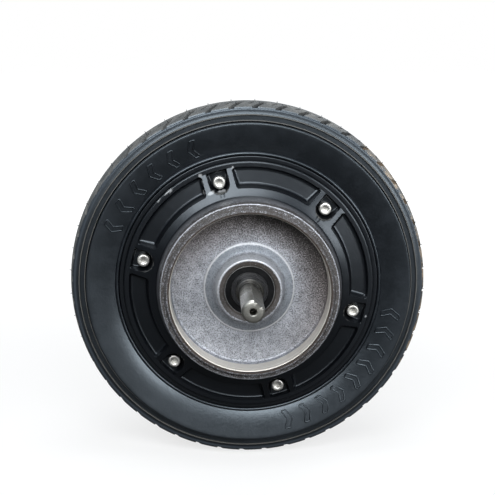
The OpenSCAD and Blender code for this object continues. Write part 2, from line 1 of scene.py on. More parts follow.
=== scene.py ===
import bpy
import bmesh
import numpy as np
from math import radians, pi
from mathutils import Matrix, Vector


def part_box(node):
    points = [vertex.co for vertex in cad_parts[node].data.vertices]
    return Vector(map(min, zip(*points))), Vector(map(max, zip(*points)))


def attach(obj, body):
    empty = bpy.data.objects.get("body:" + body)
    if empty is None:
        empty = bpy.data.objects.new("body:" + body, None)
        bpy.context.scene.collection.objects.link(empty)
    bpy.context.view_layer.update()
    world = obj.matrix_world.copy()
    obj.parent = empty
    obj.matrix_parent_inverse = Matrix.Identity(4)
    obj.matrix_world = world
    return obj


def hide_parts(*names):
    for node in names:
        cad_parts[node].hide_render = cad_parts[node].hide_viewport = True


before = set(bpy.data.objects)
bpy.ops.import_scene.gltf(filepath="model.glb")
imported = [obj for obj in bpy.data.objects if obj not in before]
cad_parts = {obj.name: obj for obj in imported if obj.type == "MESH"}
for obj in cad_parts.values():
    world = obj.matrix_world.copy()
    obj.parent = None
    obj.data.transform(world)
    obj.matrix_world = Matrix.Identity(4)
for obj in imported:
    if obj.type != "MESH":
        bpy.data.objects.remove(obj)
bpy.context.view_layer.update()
mm = 0.001
drumSide, cableSide = 1, -1
print("frame loaded:", len(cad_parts), "nodes")


def radiusOf(node):
    # half of a node's width, in mm
    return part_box(node)[1].x / mm


def drumEnd(node):
    # how far a node reaches along the axle towards the drum side, in mm
    return -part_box(node)[0].y / mm


def cableEnd(node):
    # how far a node reaches towards the cable side, in mm
    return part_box(node)[1].y / mm


# sizes that more than one piece uses, in mm and degrees; z runs along the axle from the wheel's middle
wheel = {
    "tyreR": radiusOf("tyre"),
    "coverR": radiusOf("drum_cover"),
    "flangeR": radiusOf("hub_shell"),
    "rimEdge": drumEnd("hub_shell"),
    "drumLip": drumEnd("drum_cover"),
    "screwCount": 6,
    "screwPhase": 45.7,
    "screwR": 59.8,
    "headSeat": 21,
    "coverSeat": 18,
    "hubSeat": 17.5,
    "channelHalf": 14,
    "drumR": 43.3,
}


# Shapes on a grid


def inMetres(x, y, z):
    # three arrays of coordinates in mm become one array of points in metres
    return np.stack(np.broadcast_arrays(x, y, z), -1) * mm


def onWheel(rho, theta, z, side=drumSide):
    # a point at radius rho and angle theta, z along the axle to its side: (rho cos, -side z, rho sin)
    return inMetres(rho * np.cos(theta), -side * z, rho * np.sin(theta))


def turned(outline, columns=320):
    # a closed outline of (radius, z) carried round the axle
    theta = np.linspace(0, 2 * pi, columns, endpoint=False)[None]
    return onWheel(outline[:, :1], theta, outline[:, 1:])


def quadMesh(name, points, faces, masks, sharp, weld):
    # faces is an array of quads; a solid whose volume comes out negative has every quad turned over
    a, b, c, d = (points[faces[:, k]] for k in range(4))
    volume = np.einsum("ij,ij->", a, np.cross(b, c)) + np.einsum("ij,ij->", a, np.cross(c, d))
    if volume < 0:
        faces = faces[:, ::-1]
    mesh = bpy.data.meshes.new(name)
    mesh.vertices.add(len(points))
    mesh.vertices.foreach_set("co", points.astype(np.float32).ravel())
    mesh.loops.add(faces.size)
    mesh.loops.foreach_set("vertex_index", faces.astype(np.int32).ravel())
    mesh.polygons.add(len(faces))
    mesh.polygons.foreach_set("loop_start", np.arange(0, faces.size, 4, dtype=np.int32))
    mesh.update(calc_edges=True)
    for key, values in masks.items():
        layer = mesh.attributes.new(key, "FLOAT", "POINT")
        layer.data.foreach_set("value", np.asarray(values, np.float32).ravel())
    if weld:  # closes the poles of a solid of revolution
        whole = bmesh.new()
        whole.from_mesh(mesh)
        bmesh.ops.remove_doubles(whole, verts=whole.verts, dist=1e-7)
        whole.to_mesh(mesh)
        whole.free()
    mesh.polygons.foreach_set("use_smooth", np.ones(len(mesh.polygons), bool))
    mesh.set_sharp_from_angle(angle=radians(sharp))
    mesh.update()
    return mesh


def addPiece(name, points, node, finish, body="wheel", masks=None, sharp=38, weld=False):
    # points is one closed grid (rows, columns, 3), or several of one size (places, rows, columns, 3):
    # quad (i, j) joins rows i and i+1 with columns j and j+1, and both ways close on themselves
    rows, columns = points.shape[-3:-1]
    index = np.arange(rows * columns).reshape(rows, columns)
    right, down = np.roll(index, -1, 1), np.roll(index, -1, 0)
    quads = np.stack([index, right, np.roll(down, -1, 1), down], -1).reshape(1, -1, 4)
    first = np.arange(0, points.size // 3, rows * columns)[:, None, None]
    spread = {key: np.broadcast_to(mask, points.shape[:-1]) for key, mask in (masks or {}).items()}
    mesh = quadMesh(name, points.reshape(-1, 3), (quads + first).reshape(-1, 4), spread, sharp, weld)
    mesh.materials.append(finishes[finish])
    piece = bpy.data.objects.new(name, mesh)
    bpy.context.scene.collection.objects.link(piece)
    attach(piece, body)
    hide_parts(node)
    print(name, points.shape)


def rounded(corners, steps=5):
    # a closed outline: each corner (x, y, radius) gives way to the arc that touches both of its edges
    corners = np.array(corners, float)
    point, radius = corners[:, :2], corners[:, 2]
    before, after = np.roll(point, 1, 0) - point, np.roll(point, -1, 0) - point
    lengthB, lengthA = np.linalg.norm(before, axis=1), np.linalg.norm(after, axis=1)
    u, v = before / lengthB[:, None], after / lengthA[:, None]
    half = np.arccos(np.clip((u * v).sum(1), -1, 1)) / 2
    reach = np.minimum(radius / np.tan(half), 0.49 * np.minimum(lengthA, lengthB))
    bend = np.linspace(0, 1, steps + 1)[None, :, None]
    start, end = point + u * reach[:, None], point + v * reach[:, None]
    # the arc is drawn as the quadratic curve with the same ends and tangents
    arcs = (start[:, None] * (1 - bend) ** 2 + 2 * point[:, None] * bend * (1 - bend)
            + end[:, None] * bend ** 2)
    outline = arcs.reshape(-1, 2)
    moved = np.linalg.norm(outline - np.roll(outline, 1, 0), axis=1) > 1e-5
    return outline[moved]


def curveBetween(a, b, c, d, steps):
    # a cubic curve from a to d, pulled towards b and c
    t = np.linspace(0, 1, steps + 1)[:, None]
    u = 1 - t
    a, b, c, d = (np.array(p, float) for p in (a, b, c, d))
    return u ** 3 * a + 3 * u * u * t * b + 3 * u * t * t * c + t ** 3 * d


def ramp(value, low, high):
    # 0 at low, 1 at high, straight between
    return np.clip((value - low) / (high - low), 0, 1)


def soft(t):
    # an S between 0 and 1, level at both ends
    t = np.clip(t, 0, 1)
    return t * t * (3 - 2 * t)


def stripe(value, middle, width, height=1.0):
    # a soft stripe round a middle value, as high as height before its top is cut off at 1
    return soft(height - np.abs(value - middle) / width)


# Node tools


class Tree:
    # a short way to add nodes to a tree and join them
    def __init__(self, tree):
        self.tree = tree

    def node(self, kind, **settings):
        made = self.tree.nodes.new(kind)
        for key, value in settings.items():
            setattr(made, key, value)
        return made

    def feed(self, socket, value):
        # a node's output is linked, a number is set, and a colour of three numbers gets its fourth
        if isinstance(value, bpy.types.NodeSocket):
            self.tree.links.new(value, socket)
        elif socket.type == "RGBA":
            socket.default_value = (*value, 1)
        else:
            socket.default_value = value

    def math(self, operation, a, b=0.0):
        made = self.node("ShaderNodeMath", operation=operation)
        self.feed(made.inputs[0], a)
        self.feed(made.inputs[1], b)
        return made.outputs[0]

    def times(self, a, b):
        return self.math("MULTIPLY", a, b)

    def plus(self, a, b):
        return self.math("ADD", a, b)

    def between(self, value, low, high, toLow=0.0, toHigh=1.0, smooth=False):
        # low goes to toLow and high to toHigh, straight or as an S, and held beyond them
        made = self.node("ShaderNodeMapRange",
                         interpolation_type="SMOOTHSTEP" if smooth else "LINEAR")
        for key, item in zip(("Value", "From Min", "From Max", "To Min", "To Max"),
                             (value, low, high, toLow, toHigh)):
            self.feed(made.inputs[key], item)
        return made.outputs[0]

    def mix(self, factor, a, b, blend="MIX"):
        made = self.node("ShaderNodeMix", data_type="RGBA", blend_type=blend)
        self.feed(made.inputs[0], factor)
        self.feed(made.inputs[6], a)
        self.feed(made.inputs[7], b)
        return made.outputs[2]

    def toned(self, colour, tone):
        # a colour times a grey tone
        grey = self.node("ShaderNodeCombineColor")
        for socket in grey.inputs:
            self.feed(socket, tone)
        return self.mix(1.0, colour, grey.outputs[0], "MULTIPLY")

    def noise(self, vector, scale, detail=3.0, rough=0.55):
        made = self.node("ShaderNodeTexNoise")
        for key, item in zip(("Vector", "Scale", "Detail", "Roughness"), (vector, scale, detail, rough)):
            self.feed(made.inputs[key], item)
        return made.outputs[0]

    def axes(self, vector):
        made = self.node("ShaderNodeSeparateXYZ")
        self.feed(made.inputs[0], vector)
        return made.outputs


# Shader groups, each used by more than one material


def startGroup(name, vector, outputs, **numbers):
    # a group with one vector input, then numbers with their first values; an output named Lathe is a vector
    tree = bpy.data.node_groups.new(name, "ShaderNodeTree")
    tree.interface.new_socket(vector, in_out="INPUT", socket_type="NodeSocketVector")
    for label, value in numbers.items():
        socket = tree.interface.new_socket(label, in_out="INPUT", socket_type="NodeSocketFloat")
        socket.default_value = value
    for label in outputs:
        kind = "NodeSocketVector" if label == "Lathe" else "NodeSocketFloat"
        tree.interface.new_socket(label, in_out="OUTPUT", socket_type=kind)
    t = Tree(tree)
    return t, t.node("NodeGroupInput").outputs, t.node("NodeGroupOutput").inputs


def wheelPolarGroup():
    # radius from the axle and height along it in mm, and a vector that follows the turn of a lathe
    t, given, result = startGroup("wheelPolar", "Vector", ("Radius", "Along", "Lathe"))
    x, y, z = t.axes(given["Vector"])
    radius = t.times(t.math("SQRT", t.plus(t.times(x, x), t.times(z, z))), 1000.0)
    t.feed(result["Radius"], radius)
    t.feed(result["Along"], t.times(y, -1000.0))
    lathe = t.node("ShaderNodeCombineXYZ")
    angle = t.math("ARCTAN2", z, x)
    for socket, value in zip(lathe.inputs, (radius, t.times(y, 1000.0), t.times(t.math("SINE", angle), 0.6))):
        t.feed(socket, value)
    t.feed(result["Lathe"], lathe.outputs[0])
    return t.tree


def grainGroup():
    # a fine skin: two sizes of noise, as a height and as an even mask
    t, given, result = startGroup("grain", "Vector", ("Height", "Mask"), Size=1.0, Coarse=0.4)
    scale = t.math("DIVIDE", 1000.0, given["Size"])
    fineNoise = t.noise(given["Vector"], scale, 2.0)
    broad = t.noise(given["Vector"], t.times(scale, 0.18), 3.0)
    t.feed(result["Height"], t.plus(fineNoise, t.times(broad, given["Coarse"])))
    t.feed(result["Mask"], t.between(t.times(fineNoise, broad), 0.18, 0.36))
    return t.tree


def turnedGroup():
    # the fine rings that a lathe tool leaves, and how much one ring differs from the next
    t, given, result = startGroup("turned", "Lathe", ("Height", "Mask"), Pitch=0.25)
    scale = t.math("DIVIDE", 1.0, given["Pitch"])
    rings = t.noise(given["Lathe"], scale, 2.0)
    bands = t.noise(given["Lathe"], t.times(scale, 0.12), 2.0)
    t.feed(result["Height"], rings)
    t.feed(result["Mask"], t.plus(t.times(rings, 0.6), t.times(bands, 0.4)))
    return t.tree


def dustGroup():
    # patches of dust or overspray: broken where the amount is low, closed where it is high
    t, given, result = startGroup("dust", "Vector", ("Mask",), Amount=0.5, Size=4.0, Speckle=0.3)
    patches = t.noise(given["Vector"], t.math("DIVIDE", 1000.0, given["Size"]), 5.0, 0.6)
    specks = t.noise(given["Vector"], t.math("DIVIDE", 9000.0, given["Size"]), 2.0, 0.6)
    cloud = t.plus(t.times(patches, t.math("SUBTRACT", 1.0, given["Speckle"])),
                   t.times(specks, given["Speckle"]))
    low = t.math("SUBTRACT", 0.78, t.times(given["Amount"], 0.62))
    t.feed(result["Mask"], t.between(cloud, low, t.plus(low, 0.16), smooth=True))
    return t.tree


def edgeWearGroup():
    # rubbed edges: the edge mask broken up by noise, so that the bare metal shows in streaks
    t, given, result = startGroup("edgeWear", "Vector", ("Mask",), Edge=0.0, Amount=0.5)
    streaks = t.noise(given["Vector"], 260.0, 4.0, 0.65)
    fineNoise = t.noise(given["Vector"], 1400.0, 2.0)
    broken = t.plus(t.times(streaks, 0.7), t.times(fineNoise, 0.3))
    reach = t.times(given["Edge"], t.plus(0.35, given["Amount"]))
    t.feed(result["Mask"], t.between(t.plus(reach, broken), 0.95, 1.2, smooth=True))
    return t.tree


groups = {"polar": wheelPolarGroup(), "grain": grainGroup(), "turned": turnedGroup(),
          "dust": dustGroup(), "edgeWear": edgeWearGroup()}
print("shader groups:", len(groups))


# Materials


class Finish(Tree):
    # one material: its tree, its Principled BSDF and its Object coordinates
    def __init__(self, name, colour, roughness, metallic=0.0, **constants):
        self.material = bpy.data.materials.new(name)
        self.material.use_nodes = True
        super().__init__(self.material.node_tree)
        self.shader = self.tree.nodes["Principled BSDF"]
        self.place = self.node("ShaderNodeTexCoord").outputs["Object"]
        self.set("Base Color", colour)
        self.set("Roughness", roughness)
        self.set("Metallic", metallic)
        for key, value in constants.items():
            self.set(key.replace("_", " "), value)

    def set(self, socket, value):
        self.feed(self.shader.inputs[socket], value)

    def group(self, name, **values):
        made = self.node("ShaderNodeGroup")
        made.node_tree = groups[name]
        for key, value in values.items():
            self.feed(made.inputs[key], value)
        return made.outputs

    def dust(self, amount, size, speckle):
        return self.group("dust", Vector=self.place, Amount=amount, Size=size, Speckle=speckle)["Mask"]

    def grain(self, size, coarse=0.5):
        return self.group("grain", Vector=self.place, Size=size, Coarse=coarse)

    def mask(self, name):
        made = self.node("ShaderNodeAttribute", attribute_type="GEOMETRY", attribute_name=name)
        return made.outputs["Fac"]

    def bump(self, height, depth):
        # depth in mm
        made = self.node("ShaderNodeBump")
        made.inputs["Distance"].default_value = depth * mm
        made.inputs["Strength"].default_value = 1.0
        self.feed(made.inputs["Height"], height)
        self.set("Normal", made.outputs[0])


def rubberFinish():
    look = {"rubber": (0.002, 0.0025, 0.0036), "worn": (0.005, 0.0058, 0.0076), "band": (0.02, 0.024, 0.03),
            "dust": (0.13, 0.123, 0.112), "clay": (0.30, 0.22, 0.14), "clayAmount": 0.78, "tipDust": 0.8,
            "grooveShade": 0.75, "innerRough": 0.32, "outerRough": 0.40, "innerR": 78.0, "outerR": 90.0,
            "bandRough": 0.4, "treadRough": 0.8}
    f = Finish("tyreRubber", look["rubber"], look["innerRough"], Specular_IOR_Level=0.8,
               Specular_Tint=(0.8, 0.91, 1.0))
    radius = f.group("polar", Vector=f.place)["Radius"]
    grain = f.grain(1.6)
    film = f.dust(0.55, 9.0, 0.35)
    tread, band, clay = f.mask("tread"), f.mask("band"), f.mask("clay")
    base = f.mix(film, look["rubber"], look["worn"])
    base = f.mix(f.times(tread, f.between(film, 0.0, 1.0, 0.45, 0.95)), base, look["dust"])
    base = f.mix(f.times(f.mask("groove"), look["grooveShade"]), base, look["rubber"])
    base = f.mix(band, base, look["band"])
    base = f.mix(f.times(f.mask("line"), look["tipDust"]), base, look["dust"])
    clayPatches = f.dust(f.times(clay, look["clayAmount"]), 7.0, 0.35)
    f.set("Base Color", f.mix(f.times(clay, clayPatches), base, look["clay"]))
    # the sidewall is glossy near the bead and duller towards its outer edge
    rough = f.between(radius, look["innerR"], look["outerR"], look["innerRough"], look["outerRough"],
                      smooth=True)
    rough = f.plus(rough, f.between(grain["Mask"], 0.0, 1.0, -0.02, 0.02))
    rough = f.math("MAXIMUM", rough, f.times(tread, look["treadRough"]))
    f.set("Roughness", f.between(band, 0.0, 1.0, rough, look["bandRough"]))
    f.bump(grain["Height"], 0.04)
    return f.material


def satinPaint(name):
    # satin black paint with a thin chalky film, rubbed to bare metal at its edges
    look = {"paint": (0.002, 0.0024, 0.0034), "chalk": (0.008, 0.009, 0.0115), "chalkShare": 0.1,
            "metal": (0.50, 0.50, 0.50), "roughness": 0.3, "wear": -0.16}
    f = Finish(name, look["paint"], look["roughness"], Specular_Tint=(0.84, 0.92, 1.0))
    grain = f.grain(0.8, 0.6)
    worn = f.group("edgeWear", Vector=f.place, Edge=f.mask("edge"), Amount=look["wear"])["Mask"]
    paint = f.mix(f.times(f.dust(0.42, 7.0, 0.4), look["chalkShare"]), look["paint"], look["chalk"])
    colour = f.mix(worn, paint, look["metal"])
    rough = f.between(grain["Mask"], 0.0, 1.0, look["roughness"] - 0.01, look["roughness"] + 0.03)
    f.bump(grain["Height"], 0.02)
    return f, colour, worn, rough


def hubFinish():
    f, colour, worn, rough = satinPaint("hubPaint")
    f.set("Base Color", colour)
    f.set("Metallic", worn)
    f.set("Roughness", rough)
    return f.material


def drumCoverFinish():
    # paint outside; inside the drum blasted metal with small dark pits, under overspray that also carries
    # painted shade
    look = {"cast": (0.345, 0.352, 0.38), "castRough": 0.58, "castMetal": 0.7, "pitScale": 1900.0,
            "oversprayAndShade": (0.038, 0.030, 0.025), "band": (0.12, 0.137, 0.155), "bandShare": 0.62,
            "paintedHighlight": (0.85, 0.86, 0.88), "paintedHighlightShare": 0.6, "hazeAndShade": (0.86, 0.74, 0.68),
            "mouth": (0.035, 0.022, 0.015), "chip": (0.24, 0.245, 0.25), "chipScale": 700.0}
    f, colour, worn, rough = satinPaint("coverPaint")
    bare, sprayAndShade = f.mask("bare"), f.dust(f.mask("sprayAndShade"), 6.0, 0.84)
    pits = f.between(f.noise(f.place, look["pitScale"], 1.0), 0.38, 0.44, 0.3, 1.0)
    blasted = f.between(f.grain(0.7, 0.7)["Height"], 0.55, 1.15, 0.5, 1.45)
    # a bluish turned band round the boss, painted highlight lines, a brown haze with painted shade in the
    # drum's upper part
    metal = f.toned(look["cast"], f.times(blasted, pits))
    metal = f.mix(f.times(f.mask("shade"), look["bandShare"]), metal, look["band"])
    # painted highlight: light lines along the step's edge and on the boss's cone
    metal = f.mix(f.times(f.mask("highlightLines"), look["paintedHighlightShare"]), metal, look["paintedHighlight"])
    metal = f.mix(f.mask("hazeAndShade"), metal, look["hazeAndShade"], "MULTIPLY")
    inside = f.mix(f.mask("mouth"), f.mix(sprayAndShade, metal, look["oversprayAndShade"]), look["mouth"])
    chipped = f.plus(f.mask("scuff"), f.noise(f.place, look["chipScale"], 3.0, 0.7))
    outside = f.mix(f.between(chipped, 0.85, 1.45), colour, look["chip"])
    f.set("Base Color", f.mix(bare, outside, inside))
    showing = f.times(bare, f.math("SUBTRACT", 1.0, sprayAndShade))
    wornOutside = f.times(worn, f.math("SUBTRACT", 1.0, bare))
    f.set("Metallic", f.math("MAXIMUM", wornOutside, f.times(showing, look["castMetal"])))
    f.set("Roughness", f.between(bare, 0.0, 1.0, rough, look["castRough"]))
    return f.material


def turnedFinish(name, colour, roughness, pitch=0.3, depth=0.02, stain=0.3, metallic=1.0):
    look = {"stain": (0.16, 0.13, 0.10), "stainShare": 0.7}
    f = Finish(name, colour, roughness, metallic)
    rings = f.group("turned", Lathe=f.group("polar", Vector=f.place)["Lathe"], Pitch=pitch)
    shade = f.toned(colour, f.between(rings["Mask"], 0.35, 0.65, 0.72, 1.2))
    stained = f.times(f.dust(stain, 6.0, 0.4), look["stainShare"])
    f.set("Base Color", f.mix(stained, shade, look["stain"]))
    f.set("Roughness", f.between(rings["Mask"], 0.3, 0.7, roughness - 0.08, roughness + 0.12))
    f.bump(rings["Height"], depth)
    return f.material


def axleFinish():
    # oil darkens the axle as far out as oilTo; a painted highlight lightens the drum stub along its upper
    # left
    look = {"steel": (0.38, 0.37, 0.335), "oil": (0.035, 0.033, 0.032), "stain": (0.14, 0.115, 0.085),
            "paintedHighlight": (0.95, 0.94, 0.90), "roughness": 0.3, "metallic": 0.95, "endRough": 0.36,
            "oilFrom": 49.0, "oilTo": 63.0, "oilShare": 0.9, "oilBlots": 9.0, "holeR": 1.9, "endZ": 82.6,
            "stainShare": 0.6, "highlightX": (-0.0042, -0.0006), "highlightZ": (-0.002, 0.002)}
    f = Finish("axleSteel", look["steel"], look["roughness"], look["metallic"])
    polar = f.group("polar", Vector=f.place)
    rings = f.group("turned", Lathe=polar["Lathe"], Pitch=0.22)
    place = f.axes(f.place)
    shade = f.toned(look["steel"], f.between(rings["Mask"], 0.35, 0.65, 0.75, 1.2))
    shade = f.mix(f.times(f.dust(0.4, 5.0, 0.4), look["stainShare"]), shade, look["stain"])
    # painted highlight: a light strip along the stub's upper left
    highlightStrip = f.times(f.between(place[0], *look["highlightX"], 1.0, 0.0, smooth=True),
                    f.between(place[2], *look["highlightZ"], 0.0, 1.0, smooth=True))
    highlightStrip = f.times(highlightStrip, f.between(polar["Along"], look["endZ"], look["endZ"] + 0.4, 1.0, 0.0))
    shade = f.mix(highlightStrip, shade, look["paintedHighlight"])
    reach = f.plus(f.math("ABSOLUTE", polar["Along"]), f.times(f.grain(3.0, 0.8)["Height"], look["oilBlots"]))
    oiled = f.between(reach, look["oilFrom"], look["oilTo"], 1.0, 0.0, smooth=True)
    hole = f.between(polar["Radius"], look["holeR"] - 0.3, look["holeR"], 1.0, 0.0)
    dark = f.times(f.math("MAXIMUM", oiled, hole), look["oilShare"])
    f.set("Base Color", f.mix(dark, shade, look["oil"]))
    rough = f.between(rings["Mask"], 0.3, 0.7, look["roughness"] - 0.08, look["roughness"] + 0.1)
    f.set("Roughness", f.between(polar["Along"], look["endZ"], look["endZ"] + 0.8, rough, look["endRough"]))
    f.bump(rings["Height"], 0.02)
    return f.material


def plainFinish(name, colour, roughness, metallic=0.0, size=1.0, depth=0.03, spread=0.2, **constants):
    f = Finish(name, colour, roughness, metallic, **constants)
    grain = f.grain(size)
    f.set("Base Color", f.toned(colour, f.between(grain["Mask"], 0.0, 1.0, 1 - spread, 1 + spread)))
    f.set("Roughness", f.between(grain["Mask"], 0.0, 1.0, roughness - 0.06, roughness + 0.08))
    f.bump(grain["Height"], depth)
    return f.material


def layeredFinish(name, colour, roughness, metallic, pitch, depth):
    # fine parallel lines along the axle, pitch in mm: laminations, or the turns of a winding
    f = Finish(name, colour, roughness, metallic)
    lines = f.math("PINGPONG", f.times(f.axes(f.place)[1], 2000.0 / pitch), 1.0)
    grain = f.grain(1.2)
    tone = f.times(f.between(lines, 0.0, 0.5, 0.6, 1.05), f.between(grain["Mask"], 0.0, 1.0, 0.85, 1.1))
    f.set("Base Color", f.toned(colour, tone))
    f.set("Roughness", f.between(grain["Mask"], 0.0, 1.0, roughness - 0.05, roughness + 0.1))
    f.bump(lines, depth)
    return f.material


finishes = {
    "rubber": rubberFinish(),
    "drumPaint": drumCoverFinish(),
    "hubPaint": hubFinish(),
    "liner": turnedFinish("linerIron", (0.64, 0.60, 0.54), 0.46, 0.35, 0.03, 0.2, 0.6),
    "axle": axleFinish(),
    "groundSteel": turnedFinish("groundSteel", (0.62, 0.62, 0.62), 0.2, 0.15, 0.006, 0.1),
    # oiled steel, darkened further as painted shade for the dark that the drum bearing's inner ring reflects
    "oiledSteel": turnedFinish("oiledSteel", (0.10, 0.10, 0.105), 0.26, 0.2, 0.01, 0.2),
    "zinc": plainFinish("zincScrews", (0.66, 0.64, 0.60), 0.45, 1.0, 0.7, 0.02, 0.15),
    "seal": plainFinish("sealRubber", (0.003, 0.003, 0.0035), 0.4, 0.0, 0.8, 0.02, Specular_IOR_Level=0.2),
    "gasket": plainFinish("gasketFibre", (0.12, 0.085, 0.055), 0.85, 0.0, 0.6, 0.06, 0.35),
    "fluxRing": turnedFinish("fluxRingSteel", (0.34, 0.34, 0.35), 0.4, 0.4, 0.02, 0.2),
    "magnets": plainFinish("nickelMagnets", (0.66, 0.65, 0.61), 0.24, 1.0, 1.5, 0.008, 0.08),
    "springSteel": plainFinish("springSteel", (0.30, 0.30, 0.31), 0.4, 1.0, 0.8, 0.02),
    "nylon": plainFinish("nylonCages", (0.50, 0.42, 0.28), 0.5, 0.0, 1.0, 0.02, 0.08),
    "carrier": turnedFinish("carrierAluminium", (0.70, 0.71, 0.72), 0.42, 0.5, 0.03, 0.15),
    "laminations": layeredFinish("laminationSteel", (0.22, 0.23, 0.25), 0.45, 0.9, 0.5, 0.06),
    "insulator": plainFinish("insulatorPlastic", (0.70, 0.66, 0.53), 0.5, 0.0, 1.2, 0.02, 0.06),
    "copper": layeredFinish("copperWire", (0.62, 0.24, 0.085), 0.3, 1.0, 0.75, 0.18),
    "board": plainFinish("boardGreen", (0.015, 0.13, 0.055), 0.3, 0.0, 0.9, 0.01, 0.15),
    "sensor": plainFinish("sensorPlastic", (0.02, 0.02, 0.02), 0.5, 0.0, 0.8, 0.02),
}
print("materials:", len(finishes))


# Tyre

tyre = {"treadW": 40, "tyreW": 50, "crownDrop": 2.2, "treadTo": 18.3, "channelDepth": 4.9, "beadGap": 0.3,
        "beadRound": 0.9, "lineDrop": 6.9, "lineGap": 3.1, "lineH": 0.8, "grooves": 48, "grooveW": 2.6,
        "grooveDepth": 2.2, "grooveFrom": 4, "slant": 25, "phase": 1.5, "sipeW": 0.9, "sipeDepth": 1.3,
        "sipeFrom": 3, "sipeTo": 11.5, "edgeSoft": 0.35}
shoulderR = wheel["tyreR"] - tyre["crownDrop"]
shoulderZ = tyre["treadW"] / 2
lineR, lineZ = shoulderR - tyre["lineDrop"], shoulderZ + 0.4


def tyreSection():
    # the closed section as (radius, z): from the channel round the bead, up the sidewall, over the two
    # raised lines and the shoulder to the crown, then back the same way on the other side; and the
    # sidewall by itself
    t = tyre
    beadR, beadZ = wheel["flangeR"] + t["beadGap"], wheel["rimEdge"] - 0.5
    bulge, gap, h = t["tyreW"] / 2, t["lineGap"], t["lineH"]
    channel = [(beadR - t["channelDepth"], wheel["channelHalf"]), (beadR, wheel["channelHalf"])]
    arc = np.radians(np.linspace(180, 20, 7))
    bead = (beadR, beadZ - 0.4) + t["beadRound"] * np.stack([1 + np.cos(arc), np.sin(arc)], 1)
    # the sidewall leans towards the axle as far as its outer corner, then drops to the first line
    crestR = lineR - 2.2
    lean = curveBetween((beadR + 2.0, beadZ - 0.5), (beadR + 6.2, bulge - 2.6), (crestR - 5.0, bulge - 1.2),
                        (crestR, bulge - 0.1), 12)
    corner = [(lineR - 1.45, bulge - 0.02), (lineR - 1.2, bulge - 0.12), (lineR - 1.05, bulge - 0.32),
              (lineR - 1.0, bulge - 0.6), (lineR - 0.8, lineZ), (lineR - 0.6, lineZ - h)]
    wall = np.concatenate([lean, corner])
    lines = [(lineR - 0.3, lineZ), (lineR - 0.15, lineZ + h / 2), (lineR + 0.15, lineZ + h / 2),
             (lineR + 0.4, lineZ - h), (lineR + gap - 0.4, lineZ - h), (lineR + gap - 0.15, lineZ + h / 2),
             (lineR + gap + 0.15, lineZ + h / 2), (lineR + gap + 0.4, lineZ - h / 2)]
    # a smooth band runs beside the tread, a small step below it
    shoulder = curveBetween((shoulderR - 2.2, lineZ - h), (shoulderR - 0.9, lineZ - h),
                            (shoulderR - 0.4, shoulderZ - 0.1), (shoulderR - 0.3, t["treadTo"] + 0.3), 7)
    treadZ = np.concatenate([np.arange(t["treadTo"], 2, -0.55), np.linspace(1.6, 0, 4)])
    crown = wheel["tyreR"] - t["crownDrop"] * (treadZ / shoulderZ) ** 2 * 0.94
    half = np.concatenate([channel, bead, wall, lines, shoulder, np.stack([crown, treadZ], 1)])
    return np.concatenate([half, (half * (1, -1))[-2::-1]]), wall


def makeTyre(section):
    t = tyre
    rho, z = section[:, :1], section[:, 1:]
    away = np.abs(z)
    onTread = ((rho > shoulderR) & (away < t["treadTo"] + 0.1)) * 1.0
    # columns crowd at the walls of the grooves and sipes; their place is in mm from a groove's middle
    pitch = 2 * pi / t["grooves"]
    middle, g, s, e = pitch * shoulderR / 2, t["grooveW"] / 2, t["sipeW"] / 2, t["edgeSoft"]
    offsets = np.array([-g - e, -g, -g / 3, g / 3, g, g + e, 3.6, middle - s - e, middle - s, middle + s,
                        middle + s + e, 8.6, 10.0])
    column = (np.arange(t["grooves"])[:, None] * pitch + offsets / shoulderR).ravel()[None]
    # the columns lean with the grooves: the turn grows with the distance from the middle of the tread,
    # and the cable side is half a pitch further on
    turn = np.tan(radians(t["slant"])) / shoulderR * (np.minimum(away, shoulderZ) - t["grooveFrom"])
    turn = turn + pitch / 2 * soft((t["grooveFrom"] - z) / (2 * t["grooveFrom"]))
    theta = radians(t["phase"]) + column + turn
    # depth is the deeper of groove and sipe: a ramp down each wall times a ramp in from each end
    offset = np.tile(offsets, t["grooves"])[None]
    groove = ramp(-np.abs(offset), -g - e, -g) * ramp(away, t["grooveFrom"], t["grooveFrom"] + 0.8)
    sipe = ramp(-np.abs(offset - middle), -s - e, -s) * ramp(away, t["sipeFrom"], t["sipeFrom"] + 0.6)
    sipe = sipe * ramp(-away, -t["sipeTo"], -t["sipeTo"] + 1.2)
    depth = onTread * np.maximum(groove * t["grooveDepth"], sipe * t["sipeDepth"])
    # dust on the tips of the raised lines, dried clay on the shoulder and tread at the right
    tips = (np.abs(rho - lineR) < 0.25) | (np.abs(rho - lineR - t["lineGap"]) < 0.25)
    clay = ramp(rho, shoulderR - 1.7, shoulderR - 0.6) * ramp(np.cos(theta - radians(10)), 0.5, 0.85)
    band = ramp(rho, shoulderR - 2.0, shoulderR - 1.6) * (1 - onTread) * (away < shoulderZ + 1)
    masks = {"tread": onTread, "band": band, "line": tips & (away > lineZ), "groove": ramp(depth, 0.3, 1.2),
             "clay": clay * (0.75 + 0.25 * ramp(depth, 0.3, 1.2))}
    points = onWheel(rho - depth, theta, z)
    addPiece("tyre_moulding", points, "tyre", "rubber", masks=masks, sharp=32)


